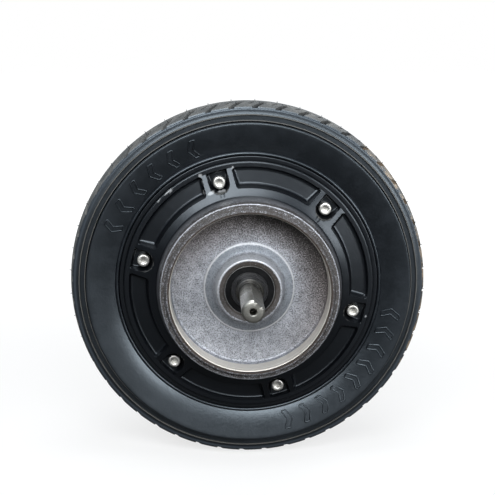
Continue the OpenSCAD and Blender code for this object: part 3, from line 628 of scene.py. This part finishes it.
def makeNibs():
    # the thin hairs that a mould's vents leave on the tread: small tapered rods, in one row at each side
    nibs = {"count": 48, "rows": (9.0, -9.0), "length": 0.9, "root": 1.0, "radius": 0.25, "tip": 0.14,
            "sides": 6, "phase": 3.9, "shift": 1.1, "lean": 0.35}
    turn = np.linspace(0, 2 * pi, nibs["sides"], endpoint=False)
    rod = np.array([(0, -nibs["root"]), (nibs["radius"], -nibs["root"]), (nibs["tip"], nibs["length"]),
                    (0, nibs["length"])])[None]
    row, count = np.arange(len(nibs["rows"]))[:, None], np.arange(nibs["count"])
    theta = np.radians(nibs["phase"] + count * 360 / nibs["count"] + nibs["shift"] * row).reshape(-1, 1, 1)
    z = np.repeat(nibs["rows"], nibs["count"])[:, None, None]
    # a hair's own directions: out from the tread, sideways round the wheel and along the axle
    lean = nibs["lean"] * np.sin(theta * 17 + z)
    out = rod[..., 1:]
    side = rod[..., :1] * np.cos(turn) + lean * np.maximum(out, 0)
    rho = wheel["tyreR"] - tyre["crownDrop"] * (z / shoulderZ) ** 2 + out
    points = inMetres(rho * np.cos(theta) - side * np.sin(theta), -z - rod[..., :1] * np.sin(turn),
                      rho * np.sin(theta) + side * np.cos(theta))
    addPiece("tyre_vent_hairs", points, "tyre", "rubber", sharp=60, weld=True)


def makeMotif(wall):
    # raised chevrons that point the way the wheel rolls, each a closed outline of a thin rounded bead;
    # an arc of them is (first angle, last angle, count)
    m = {"middleR": 81.2, "half": 4.9, "arm": 3.0, "lean": 2.7, "round": 0.7, "beadW": 0.42, "beadH": 0.55,
         "arcs": ((112, 156, 6), (-12, -74, 9))}
    outline = rounded([(-m["arm"], m["half"], m["round"]), (0, m["half"], m["round"]),
                       (m["lean"], 0, m["round"]), (0, -m["half"], m["round"]),
                       (-m["arm"], -m["half"], m["round"]), (m["lean"] - m["arm"], 0, m["round"])], 4)
    ahead = np.roll(outline, -1, 0) - np.roll(outline, 1, 0)
    side = np.stack([ahead[:, 1], -ahead[:, 0]], 1) / np.linalg.norm(ahead, axis=1)[:, None]
    turn = np.linspace(0, 2 * pi, 8, endpoint=False)
    around = outline[:, None] + side[:, None] * m["beadW"] * np.cos(turn)[None, :, None]
    angles = np.concatenate([np.radians(np.linspace(*arc)) for arc in m["arcs"]])[:, None, None]
    rho = m["middleR"] + around[None, ..., 1]
    theta = angles + around[None, ..., 0] / m["middleR"]
    z = np.interp(rho, wall[:, 0], wall[:, 1]) + m["beadH"] * np.sin(turn)
    addPiece("tyre_roll_marks", onWheel(rho, theta, z), "tyre", "rubber", sharp=70)


section, sidewall = tyreSection()
makeTyre(section)
makeNibs()
makeMotif(sidewall)


# Covers

cover = dict(wheel, rimWall=2.9, edgeZ=24, landZ=29.5, landRise=1.9, pocketInR=55.2, pocketFloor=22,
             floorTilt=0.16, floorFillet=1.7, wallSlope=4.4, cornerR=1.8, ribR=8.5, recessR=5.7,
             recessFillet=0.7, bearingFace=26.5, spigotR=56.25, spigotT=3.4, spigotDepth=2.4,
             wideColumns=16)
pocketOutR = cover["coverR"] - cover["rimWall"]


def sunk(inside, top, floor, slope, fillet):
    # the height at a distance inside a sunk floor's edge: a steep wall, then a fillet, then the floor.
    # The fillet is the circle that touches both the wall's line and the floor.
    steep = np.sqrt(1 + slope * slope)
    centre = (top - floor - fillet) / slope + fillet * steep / slope
    start = centre - fillet * slope / steep
    arc = floor + fillet - np.sqrt(np.maximum(fillet ** 2 - (inside - centre) ** 2, 0))
    wall = top - slope * np.maximum(inside, 0)
    height = np.where(inside < start, wall, np.where(inside < centre, arc, floor))
    return np.maximum(height, floor)


def coverHeights(rho, theta):
    # the top of a cover over its outer zone: a land, arc pockets between the screws, and a U-shaped recess
    # round each screw between two ribs. Distances are signed, negative inside a pocket.
    s = cover
    step = 2 * pi / s["screwCount"]
    local = (theta - radians(s["screwPhase"]) + step / 2) % step - step / 2
    across, outward = rho * np.sin(local), rho * np.cos(local)
    top = np.interp(rho, [s["pocketInR"] - 4, s["pocketInR"], pocketOutR, s["coverR"]],
                    [s["landZ"] + s["landRise"], s["landZ"], s["edgeZ"] + 0.2, s["edgeZ"]])
    radial = np.maximum(s["pocketInR"] - rho, rho - pocketOutR)
    a, b = radial + s["cornerR"], s["ribR"] - np.abs(across) + s["cornerR"]
    pocket = np.hypot(np.maximum(a, 0), np.maximum(b, 0)) + np.minimum(np.maximum(a, b), 0) - s["cornerR"]
    beyond = np.maximum(s["screwR"] - outward, 0)
    recess = np.maximum(np.hypot(across, beyond) - s["recessR"], rho - pocketOutR)
    floor = s["pocketFloor"] + s["floorTilt"] * ((s["pocketInR"] + pocketOutR) / 2 - rho)
    height = sunk(-pocket, top, floor, s["wallSlope"], s["floorFillet"])
    return np.minimum(height, sunk(-recess, top, s["headSeat"], s["wallSlope"], s["recessFillet"]))


def coverColumns(narrow):
    # angles round the wheel: narrow counts those within the ribs' zone at each screw, where they crowd
    s = cover
    step = 2 * pi / s["screwCount"]
    zone = np.arcsin((s["ribR"] + 2.2) / s["pocketInR"])
    one = np.concatenate([np.linspace(-zone, zone, narrow, endpoint=False),
                          np.linspace(zone, step - zone, s["wideColumns"], endpoint=False)])
    return (radians(s["screwPhase"]) + np.arange(s["screwCount"])[:, None] * step + one).ravel()[None]


def edgeMask(z, reach=2, gain=2.6):
    # how far a point stands above the mean of its neighbours: 1 on a sharp convex edge
    mean = sum(np.roll(z, k, axis) for axis in (0, 1) for k in (-reach, reach)) / 4
    return np.clip((z - mean) * gain, 0, 1)


def coverBack(backZ):
    # corners of a cover's underside, from the back plate over the spigot to the rim
    s = cover
    inR, foot = s["spigotR"] - s["spigotT"], s["hubSeat"] - s["spigotDepth"]
    return [(inR - 2, backZ, 1.5), (inR, foot, 0), (s["spigotR"], foot, 0.5),
            (s["spigotR"], s["coverSeat"], 0), (s["coverR"], s["coverSeat"], 0),
            (s["coverR"], s["edgeZ"] - 0.5, 0)]


def coverLand(innerR, corner):
    # corners of the land that slopes up from the pockets to the cover's middle part
    s = cover
    return [(s["pocketInR"] - 1.4, s["landZ"] + 0.35 * s["landRise"], 0),
            (innerR, s["landZ"] + s["landRise"], corner)]


def coverSurface(corners, rowSteps, narrow, rimWear):
    # rows run from the rim's edge over the pockets to the land, then on along the rounded corners over the
    # middle and the back to the rim; columns are angles. Gives radius, angle, z and the mask of worn edges.
    s, middle = cover, rounded(corners, 5)
    wallStep, floorStep, innerStep = rowSteps
    zone = np.concatenate([
        [s["coverR"] - 0.12, s["coverR"] - 0.45], np.arange(s["coverR"] - 0.9, pocketOutR + 0.5, -0.6),
        np.arange(pocketOutR + 0.3, pocketOutR - 2.2, -wallStep),
        np.arange(pocketOutR - 2.4, s["pocketInR"] + 2.4, -floorStep),
        np.arange(s["pocketInR"] + 2.2, s["pocketInR"] - 0.5, -innerStep), [s["pocketInR"] - 0.9]])[:, None]
    theta = coverColumns(narrow)
    heights = coverHeights(zone, theta) - 0.45 * ramp(zone, s["coverR"] - 0.6, s["coverR"]) ** 2
    rho = np.concatenate([zone, middle[:, :1]]) + 0 * theta
    z = np.concatenate([heights, middle[:, 1:] + 0 * theta])
    edge = rimWear * stripe(rho, s["coverR"] - 0.3, 0.5)
    edge[:len(zone)] = np.maximum(edge[:len(zone)], edgeMask(heights))
    return rho, theta, z, edge * ramp(z, s["coverSeat"] + 1, s["coverSeat"] + 2)


def makeDrumCover():
    d = {"footR": 51.2, "outerR": 48.8, "shoulderZ": 42.1, "lipR": 43.9, "linerR": 45.95, "linerTop": 43.6,
         "linerBottom": 30.4, "drumR": wheel["drumR"], "floorZ": 28, "backZ": 23.5, "stepR": 25.5,
         "stepH": 1.2, "bossR": 17.8, "bossTop": 38.6, "bossLipR": 13.7, "seatR": 16.05, "bearingEnd": 36,
         # places where the paint has chipped off: angle, radius, half length, half width
         "chips": ((135.4, 68.6, 2.8, 0.6), (128.5, 68.3, 1.8, 1.3), (131.5, 68.6, 2.4, 0.7),
                   (113.3, 67, 1.8, 1.4), (114, 63.5, 1.1, 2.4), (115.3, 57.8, 1.3, 2.0),
                   (111.5, 56.4, 3.2, 1.5), (105.5, 55.3, 3.6, 0.9), (97.6, 66.4, 1.0, 1.4),
                   (344.5, 67.8, 1.2, 0.9))}
    s, lipZ = cover, wheel["drumLip"]
    # from the land inwards over the drum, through the dish, the boss and the back, to the rim
    corners = coverLand(d["footR"], 0.9) + [
        (d["outerR"], d["shoulderZ"], 1.0), (d["lipR"] + 2.6, d["shoulderZ"] + 0.15, 0.4),
        (d["lipR"] + 1.5, lipZ, 0.7), (d["lipR"], lipZ, 0.5), (d["drumR"] + 0.4, d["linerTop"] + 0.1, 0.2),
        (d["linerR"], d["linerTop"], 0), (d["linerR"], d["linerBottom"], 0),
        (d["drumR"], d["linerBottom"], 0.2), (d["drumR"] - 0.5, d["floorZ"], 2.4),
        (d["stepR"], d["floorZ"], 0.6), (d["stepR"] - 1.4, d["floorZ"] + d["stepH"], 2.2),
        (d["bossR"] + 1.6, d["floorZ"] + d["stepH"] + 0.6, 4), (d["bossR"], d["bossTop"], 1.2),
        (d["bossLipR"] + 0.6, d["bossTop"] - 1.0, 0.4), (d["bossLipR"], d["bearingEnd"], 0),
        (d["seatR"], d["bearingEnd"], 0), (d["seatR"], s["bearingFace"], 0),
        (d["seatR"] + 4, s["bearingFace"], 0), (d["seatR"] + 6, d["backZ"], 1)] + coverBack(d["backZ"])
    rho, theta, z, edge = coverSurface(corners, (0.19, 0.26, 0.2), 82, 0.3)
    edge = edge * (rho < s["coverR"] - 0.1)  # the rim's outer face keeps its paint
    landEdge = stripe(rho, s["pocketInR"] - 0.4, 0.7) * ramp(z, s["landZ"] - 1, s["landZ"] - 0.3)
    scuff = np.zeros_like(z)
    for chipAngle, chipR, chipL, chipW in d["chips"]:
        along = (theta - radians(chipAngle)) * chipR / chipL
        scuff = np.maximum(scuff, soft(1.4 - 1.4 * np.hypot(along, (rho - chipR) / chipW)) * (z > 23))
    masks = drumMasks(rho, theta, z, d)
    masks.update(edge=np.maximum(edge, 0.8 * landEdge), scuff=scuff)
    addPiece("drum_cover_casting", onWheel(rho, theta, z), "drum_cover", "drumPaint",
             masks=masks, sharp=34)


def drumMasks(rho, theta, z, d):
    # where the drum's metal is bare, sprayed over, turned or stained, and where painted shade and painted
    # highlight lie on it. Overspray and the painted shade under the drum's lip both grow towards one angle on
    # the upper side; a painted highlight lies on the boss's cone towards a second angle; the turned band lies
    # between two radii.
    m = {"shadeAngle": 62, "coneHighlightAngle": 110, "coneZ": 30.5, "ringSprayAndShade": 0.60, "ringRise": 0.12,
         "ringShadeSide": 0.08, "dishSprayAndShade": 0.22, "dishShadeSide": 0.50, "dishShadeSideR": 20, "bossSpray": 0.6,
         "bandInR": 19.3, "bandOutR": 24.3, "bandZ": 31, "hazeAndShadeR": 27}
    # painted shade with overspray: the side towards the first angle is made darker for the shadow of the
    # drum's lip; the boss's cone gets a painted highlight towards the second
    shadeSide, coneHighlightSide = (soft(0.5 + 0.5 * np.cos(theta - radians(m[k]))) for k in ("shadeAngle", "coneHighlightAngle"))
    onDrum = (rho < d["outerR"] + 0.2) & (z > d["floorZ"] - 0.5)
    bare = np.maximum(ramp(z, d["shoulderZ"] - 1.3, d["shoulderZ"] - 0.4), rho < d["linerR"] + 0.1)
    onRing = rho > d["lipR"]
    ringSprayAndShade = m["ringSprayAndShade"] + m["ringRise"] * ramp(rho, d["lipR"], d["outerR"]) + m["ringShadeSide"] * shadeSide
    dishSprayAndShade = (m["dishSprayAndShade"] + m["dishShadeSide"] * shadeSide * soft((rho - m["dishShadeSideR"]) / 12)
                 + m["bossSpray"] * ramp(-rho, 0.8 - d["bossR"], 1.1 - d["bossR"]))
    # the drum's corner, the edge of the step and the boss's rim are kept free of overspray, so that their
    # bare metal shows as lines of painted highlight
    highlightEdges = (0.6 * stripe(rho, d["outerR"] - 0.35, 0.25, 1.6) + stripe(rho, d["stepR"] - 0.7, 0.4, 1.6)
             + stripe(rho, d["bossR"] - 0.4, 0.4, 1.5))
    sprayAndShade = np.where(onRing, ringSprayAndShade, dishSprayAndShade) * (1 - np.clip(highlightEdges, 0, 1))
    coneHighlight = stripe(rho, d["bossR"] + 0.3, 0.9, 1.6) * (z > m["coneZ"]) * coneHighlightSide
    masks = {"bare": bare, "sprayAndShade": np.clip(sprayAndShade, 0, 1),
             "shade": soft((m["bandOutR"] - rho) / 0.5) * soft((rho - m["bandInR"]) / 1.2) * (z < m["bandZ"]),
             # painted highlight along the step's edge and on the upper side of the boss's cone
             "highlightLines": np.maximum(stripe(rho, d["stepR"] - 0.75, 0.45, 1.5), 0.7 * coneHighlight),
             "mouth": stripe(rho, d["lipR"] + 0.2, 0.35, 1.7) * (z > d["linerTop"] - 0.8),
             # painted shade: the brown haze darkens the dish's upper side
             "hazeAndShade": np.clip(1.3 * shadeSide - 0.1, 0, 1) * soft((rho - m["hazeAndShadeR"]) / 11) * (1 - onRing)}
    return {key: mask * onDrum for key, mask in masks.items()}


def makeCableCover():
    d = {"innerR": 51.2, "plateR": 50.0, "plateZ": 28.5, "bossR": 23.5, "bossTop": 39.8, "bossLipR": 15.2,
         "seatR": 17.55, "bearingBack": 37.6, "backZ": 25}
    s = cover
    corners = coverLand(d["innerR"], 0.8) + [
        (d["plateR"], d["plateZ"], 0.8), (d["bossR"] + 1.2, d["plateZ"] + 0.6, 4),
        (d["bossR"], d["bossTop"], 1.6), (d["bossLipR"] + 0.8, d["bossTop"], 0.5),
        (d["bossLipR"], d["bearingBack"], 0), (d["seatR"], d["bearingBack"], 0),
        (d["seatR"], s["bearingFace"], 0), (d["seatR"] + 4, s["bearingFace"], 0),
        (d["seatR"] + 5, d["backZ"], 0)] + coverBack(d["backZ"])
    rho, theta, z, edge = coverSurface(corners, (0.22, 0.3, 0.24), 72, 0.7)
    addPiece("cable_cover_casting", onWheel(rho, theta, z, cableSide), "cable_cover",
             "hubPaint", masks={"edge": edge}, sharp=34)


makeDrumCover()
makeCableCover()


# Hub shell, liner and screws


def makeHubShell():
    hub = {"boreR": 56.3, "seatR": 66.5, "fit": 0.05, "soft": 0.5}
    s, edge, coverR = wheel, wheel["rimEdge"], wheel["coverR"] + hub["fit"]
    half = [(hub["boreR"], s["hubSeat"], 0), (coverR, s["hubSeat"], 0), (coverR, edge, hub["soft"]),
            (s["flangeR"], edge, hub["soft"]), (s["flangeR"], s["channelHalf"], 0),
            (hub["seatR"], s["channelHalf"], 0)]
    outline = rounded(half + [(r, -z, c) for r, z, c in half[::-1]], 4)
    worn = soft((np.abs(outline[:, 1:]) - edge + 0.9) / 0.7)
    addPiece("hub_shell_ring", turned(outline), "hub_shell", "hubPaint", masks={"edge": worn})


def makeLiner():
    outer, top, bottom = radiusOf("brake_liner"), drumEnd("brake_liner"), -cableEnd("brake_liner")
    inner = wheel["drumR"]
    outline = rounded([(outer, bottom, 0), (inner, bottom, 0.3), (inner, top, 0.6), (outer, top, 0)])
    addPiece("brake_liner_ring", turned(outline), "brake_liner", "liner")


def makeScrews(name, side, node):
    # socket head screws: rows of radius and z from the socket's floor over the head and down the shank
    d = {"headR": 3.5, "headH": 4.0, "dome": 0.9, "socket": 3.0, "socketDepth": 2.2, "shankR": 2.0,
         "shankL": 12.0, "bevel": 0.5, "columns": 48, "turn": 7.3}
    seat, top = wheel["headSeat"], wheel["headSeat"] + d["headH"]
    theta = np.linspace(0, 2 * pi, d["columns"], endpoint=False)[None]
    # the socket is a hexagon: its side lies at half its width over the cosine of the angle to the side
    hexR = d["socket"] / 2 / np.cos((theta + pi / 6) % (pi / 3) - pi / 6)
    arc = np.radians(np.linspace(90, 0, 7))
    dome = np.stack([d["headR"] - d["dome"] * (1 - np.cos(arc)), top - d["dome"] * (1 - np.sin(arc))], 1)
    rows = [(0, top - d["socketDepth"] - 0.3), (hexR, top - d["socketDepth"]), (hexR, top - 0.25),
            (np.maximum(hexR, d["socket"] / 2 / np.cos(pi / 6)) + 0.25, top - 0.02), *dome,
            (d["headR"], seat + 0.1), (d["headR"] - 0.1, seat), (d["shankR"], seat),
            (d["shankR"], seat - d["shankL"] + d["bevel"]), (d["shankR"] - d["bevel"], seat - d["shankL"]),
            (0, seat - d["shankL"])]
    rho = np.concatenate([r + 0 * theta for r, z in rows])
    z = np.array([z for r, z in rows])[:, None]
    places = np.radians(wheel["screwPhase"] + np.arange(wheel["screwCount"]) * 60)[:, None, None]
    spin = places * d["turn"]  # each screw stopped at its own angle
    x = wheel["screwR"] * np.cos(places) + rho * np.cos(theta + spin)
    up = wheel["screwR"] * np.sin(places) + rho * np.sin(theta + spin)
    addPiece(name, inMetres(x, -side * z, up), node, "zinc", sharp=30, weld=True)


makeHubShell()
makeLiner()
makeScrews("drum_cover_screw_set", drumSide, "drum_cover_screws")
makeScrews("cable_cover_screw_set", cableSide, "cable_cover_screws")


# Axle


def stubOutline(a, stubR, seatR, collar, end):
    # radius and z of one stub, from its end back to its bearing's seat: chamfer, flat's relief, collar
    flat = collar + a["flatFrom"]
    return np.array([
        (stubR - a["chamfer"] - 0.1, end), (stubR - a["chamfer"], end - 0.05),
        (stubR - 0.05, end - a["chamfer"]), (stubR, end - a["chamfer"] - 0.1),
        (stubR, flat + a["reliefW"] + 0.02), (stubR - a["relief"], flat + a["reliefW"]),
        (stubR - a["relief"], flat), (stubR, flat - 0.02), (stubR, collar + 0.3), (stubR + 0.3, collar),
        (seatR - 0.6, collar), (seatR, collar - 0.6)])


def makeAxle():
    a = {"drumStubR": 6, "cableStubR": 7, "flat": 1.3, "flatPhase": 50, "drumCollar": 41.5,
         "cableCollar": 41, "drumSeatR": 7.5, "cableSeatR": 8.5, "relief": 0.4, "reliefW": 1, "flatFrom": 2,
         "chamfer": 1, "centreR": 1.8, "centreDeep": 8, "cableBoreR": 4, "boreTo": 40, "drumBodyR": 9.3,
         "cableBodyR": 10, "bodyHalf": 27, "flangeR": 13, "flangeFrom": 15, "flangeTo": 18}
    dEnd, cEnd = drumEnd("axle"), cableEnd("axle")
    centreHole = [(0, dEnd - a["centreDeep"] - 1), (a["centreR"], dEnd - a["centreDeep"]),
                  (a["centreR"], dEnd - 0.7), (a["centreR"] + 0.35, dEnd - 0.1), (a["centreR"] + 0.5, dEnd)]
    drumStub = stubOutline(a, a["drumStubR"], a["drumSeatR"], a["drumCollar"], dEnd)
    body = [(a["drumSeatR"], a["bodyHalf"]), (a["drumBodyR"], a["bodyHalf"]),
            (a["drumBodyR"], a["flangeTo"]), (a["flangeR"], a["flangeTo"]), (a["flangeR"], a["flangeFrom"]),
            (a["cableBodyR"], a["flangeFrom"]), (a["cableBodyR"], -a["bodyHalf"]),
            (a["cableSeatR"], -a["bodyHalf"])]
    cableStub = stubOutline(a, a["cableStubR"], a["cableSeatR"], a["cableCollar"], cEnd)[::-1] * (1, -1)
    cableBore = [(a["cableBoreR"] + 0.3, -cEnd), (a["cableBoreR"], 0.3 - cEnd),
                 (a["cableBoreR"], a["boreTo"] - cEnd), (0, a["boreTo"] + 1 - cEnd)]
    outline = np.concatenate([centreHole, drumStub, body, cableStub, cableBore])
    # columns crowd at the two edges of each flat, so that it stays crisp
    edges = [np.degrees(np.arccos((r - a["flat"]) / r)) for r in (a["drumStubR"], a["cableStubR"])]
    marks = np.sort(np.concatenate([[e * k for e in edges for k in (-1.02, -1, 1, 1.02)],
                                    np.linspace(-30, 30, 9), np.arange(42, 320, 5.0)]))
    theta = np.radians(a["flatPhase"] + marks)[None]
    rho, z = outline[:, :1] + 0 * theta, outline[:, 1:] + 0 * theta
    # a flat is where the radius would pass its plane: the plane's distance over the cosine of the angle
    facing = np.cos(theta - radians(a["flatPhase"]))
    beyond = a["flatFrom"] + a["reliefW"] / 2
    stubs = ((a["drumStubR"], a["drumCollar"], z), (a["cableStubR"], a["cableCollar"], -z))
    for stubR, start, height in stubs:
        onFlat = (height > start + beyond) & (facing > 0)
        rho = np.where(onFlat, np.minimum(rho, (stubR - a["flat"]) / np.maximum(facing, 1e-6)), rho)
    addPiece("axle_turned", onWheel(rho, theta, z), "axle", "axle", body="axle_assembly",
             sharp=28, weld=True)


makeAxle()


# Finishes of the nodes that keep their own meshes

nodeFinishes = {
    "gasket": ("drum_cover_gasket", "cable_cover_gasket"),
    "fluxRing": ("flux_ring",),
    "magnets": ("magnets",),
    "groundSteel": ("drum_bearing_outer_ring", "cable_bearing_outer_ring", "cable_bearing_inner_ring",
                    "drum_bearing_balls", "cable_bearing_balls"),
    # the drum bearing's inner ring: oiled steel, darkened further as painted shade
    "oiledSteel": ("drum_bearing_inner_ring",),
    "seal": ("drum_bearing_outer_seal", "drum_bearing_inner_seal", "cable_bearing_outer_seal",
             "cable_bearing_inner_seal", "cable_grommet"),
    "nylon": ("drum_bearing_cage", "cable_bearing_cage"),
    "springSteel": ("preload_washer", "carrier_key", "carrier_circlip"),
    "carrier": ("stator_carrier",),
    "laminations": ("stator_core",),
    "insulator": ("drum_side_insulator", "cable_side_insulator"),
    "copper": ("phase_a_coils", "phase_b_coils", "phase_c_coils"),
    "board": ("hall_board",),
    "sensor": ("hall_sensors",),
}
for finish, nodes in nodeFinishes.items():
    for node in nodes:
        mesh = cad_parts[node].data
        mesh.materials.clear()
        mesh.materials.append(finishes[finish])
print("finishes on nodes with their own meshes:", len(nodeFinishes))


# Studio and camera


def facingBack(back, place):
    # the matrix of a lamp or camera at a place, whose own z axis points along back and whose x is level
    right = np.cross((0, 0, 1), back)
    right = right / np.linalg.norm(right)
    turn = Matrix(np.stack([right, np.cross(back, right), back], 1).tolist()).to_4x4()
    turn.translation = place
    return turn


def addHolder(name, data, matrix):
    holder = bpy.data.objects.new(name, data)
    holder.matrix_world = matrix
    bpy.context.scene.collection.objects.link(holder)
    return holder


def makeFloor():
    # the floor is lifted to white for the camera, more so away from the wheel, and its shadow stays.
    # Mirror rays get a small share of the lift, so that black paint and rubber stay black.
    d = {"size": 4.0, "tone": 0.18, "bounceTone": 0.03, "roughness": 0.9, "nearLift": 0.74, "farLift": 1.0,
         "nearR": 0.12, "farR": 0.9, "glossyShare": 0.04}
    size, ground = d["size"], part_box("tyre")[0].z
    corners = [(-size, -size, ground), (size, -size, ground), (size, size, ground), (-size, size, ground)]
    mesh = bpy.data.meshes.new("studioFloor")
    mesh.from_pydata(corners, [], [(0, 1, 2, 3)])
    floor = bpy.data.objects.new("studioFloor", mesh)
    bpy.context.scene.collection.objects.link(floor)
    f = Finish("studioFloor", (d["tone"],) * 3, d["roughness"])
    rays = f.node("ShaderNodeLightPath").outputs
    mirrored = f.times(rays["Is Glossy Ray"], d["glossyShare"])
    seen = f.math("MAXIMUM", f.math("MAXIMUM", rays["Is Camera Ray"], rays["Is Transmission Ray"]), mirrored)
    f.set("Base Color", f.mix(rays["Is Camera Ray"], (d["bounceTone"],) * 3, (d["tone"],) * 3))
    away = f.node("ShaderNodeVectorMath", operation="LENGTH")
    f.feed(away.inputs[0], f.place)
    lift = f.between(away.outputs["Value"], d["nearR"], d["farR"], d["nearLift"], d["farLift"], smooth=True)
    f.set("Emission Color", (1, 1, 1))
    f.set("Emission Strength", f.times(seen, lift))
    mesh.materials.append(f.material)


def makeWorld():
    # white for the camera; for mirror rays a sky from the horizon up to the zenith; a low fill for the rest
    d = {"fill": 0.07, "horizon": 0.01, "zenith": 0.8, "skyTone": (0.78, 0.89, 1.0)}
    world = bpy.data.worlds.new("studioWorld")
    world.use_nodes = True
    bpy.context.scene.world = world
    t = Tree(world.node_tree)
    background = world.node_tree.nodes["Background"]
    rays = t.node("ShaderNodeLightPath").outputs
    up = t.axes(t.node("ShaderNodeTexCoord").outputs["Generated"])[2]
    seen = t.math("MAXIMUM", rays["Is Camera Ray"], rays["Is Transmission Ray"])
    sky = t.between(up, 0.0, 0.8, d["horizon"], d["zenith"], smooth=True)
    level = t.between(rays["Is Glossy Ray"], 0.0, 1.0, d["fill"], sky)
    t.feed(background.inputs["Color"], t.mix(seen, d["skyTone"], (1, 1, 1)))
    t.feed(background.inputs["Strength"], t.between(seen, 0.0, 1.0, level, 1.0))


def makeLamps():
    # each lamp faces the wheel: place in metres, width in metres, power in watts
    tone, shape = (0.95, 0.98, 1.0), 0.68
    lamps = {"keyLamp": ((-0.20, -1.05, 0.77), 1.15, 22), "topLamp": ((0.05, -0.15, 1.35), 0.9, 10),
             "sideLamp": ((0.82, -1.00, 0.30), 0.8, 11), "backLamp": ((0.45, 1.15, 0.30), 0.9, 4)}
    for name, (place, width, power) in lamps.items():
        lamp = bpy.data.lights.new(name, "AREA")
        lamp.shape, lamp.size, lamp.size_y = "ELLIPSE", width, width * shape
        lamp.energy, lamp.color = power, tone
        addHolder(name, lamp, facingBack(np.array(place) / np.linalg.norm(place), place))


def makeCamera():
    # the photograph's view: azimuth and elevation in degrees, distance in metres, lens from the focal
    # length in pixels of a frame 495 pixels wide
    view = {"azimuth": -2.1, "elevation": 12.5, "distance": 0.70, "focalPixels": 1221, "framePixels": 495,
            "sensor": 36, "originX": 247.3, "originY": 276.3}
    az, el = radians(view["azimuth"]), radians(view["elevation"])
    back = np.array([np.sin(az) * np.cos(el), -np.cos(az) * np.cos(el), np.sin(el)])
    camera = bpy.data.cameras.new("photoCamera")
    camera.lens = view["focalPixels"] / view["framePixels"] * view["sensor"]
    camera.sensor_width = view["sensor"]
    middle = view["framePixels"] / 2
    camera.shift_x = (middle - view["originX"]) / view["framePixels"]
    camera.shift_y = (view["originY"] - middle) / view["framePixels"]
    holder = addHolder("photoCamera", camera, facingBack(back, back * view["distance"]))
    bpy.context.scene.camera = holder


makeFloor()
makeWorld()
makeLamps()
makeCamera()
bpy.context.scene.view_settings.view_transform = "Standard"
print("studio and camera")
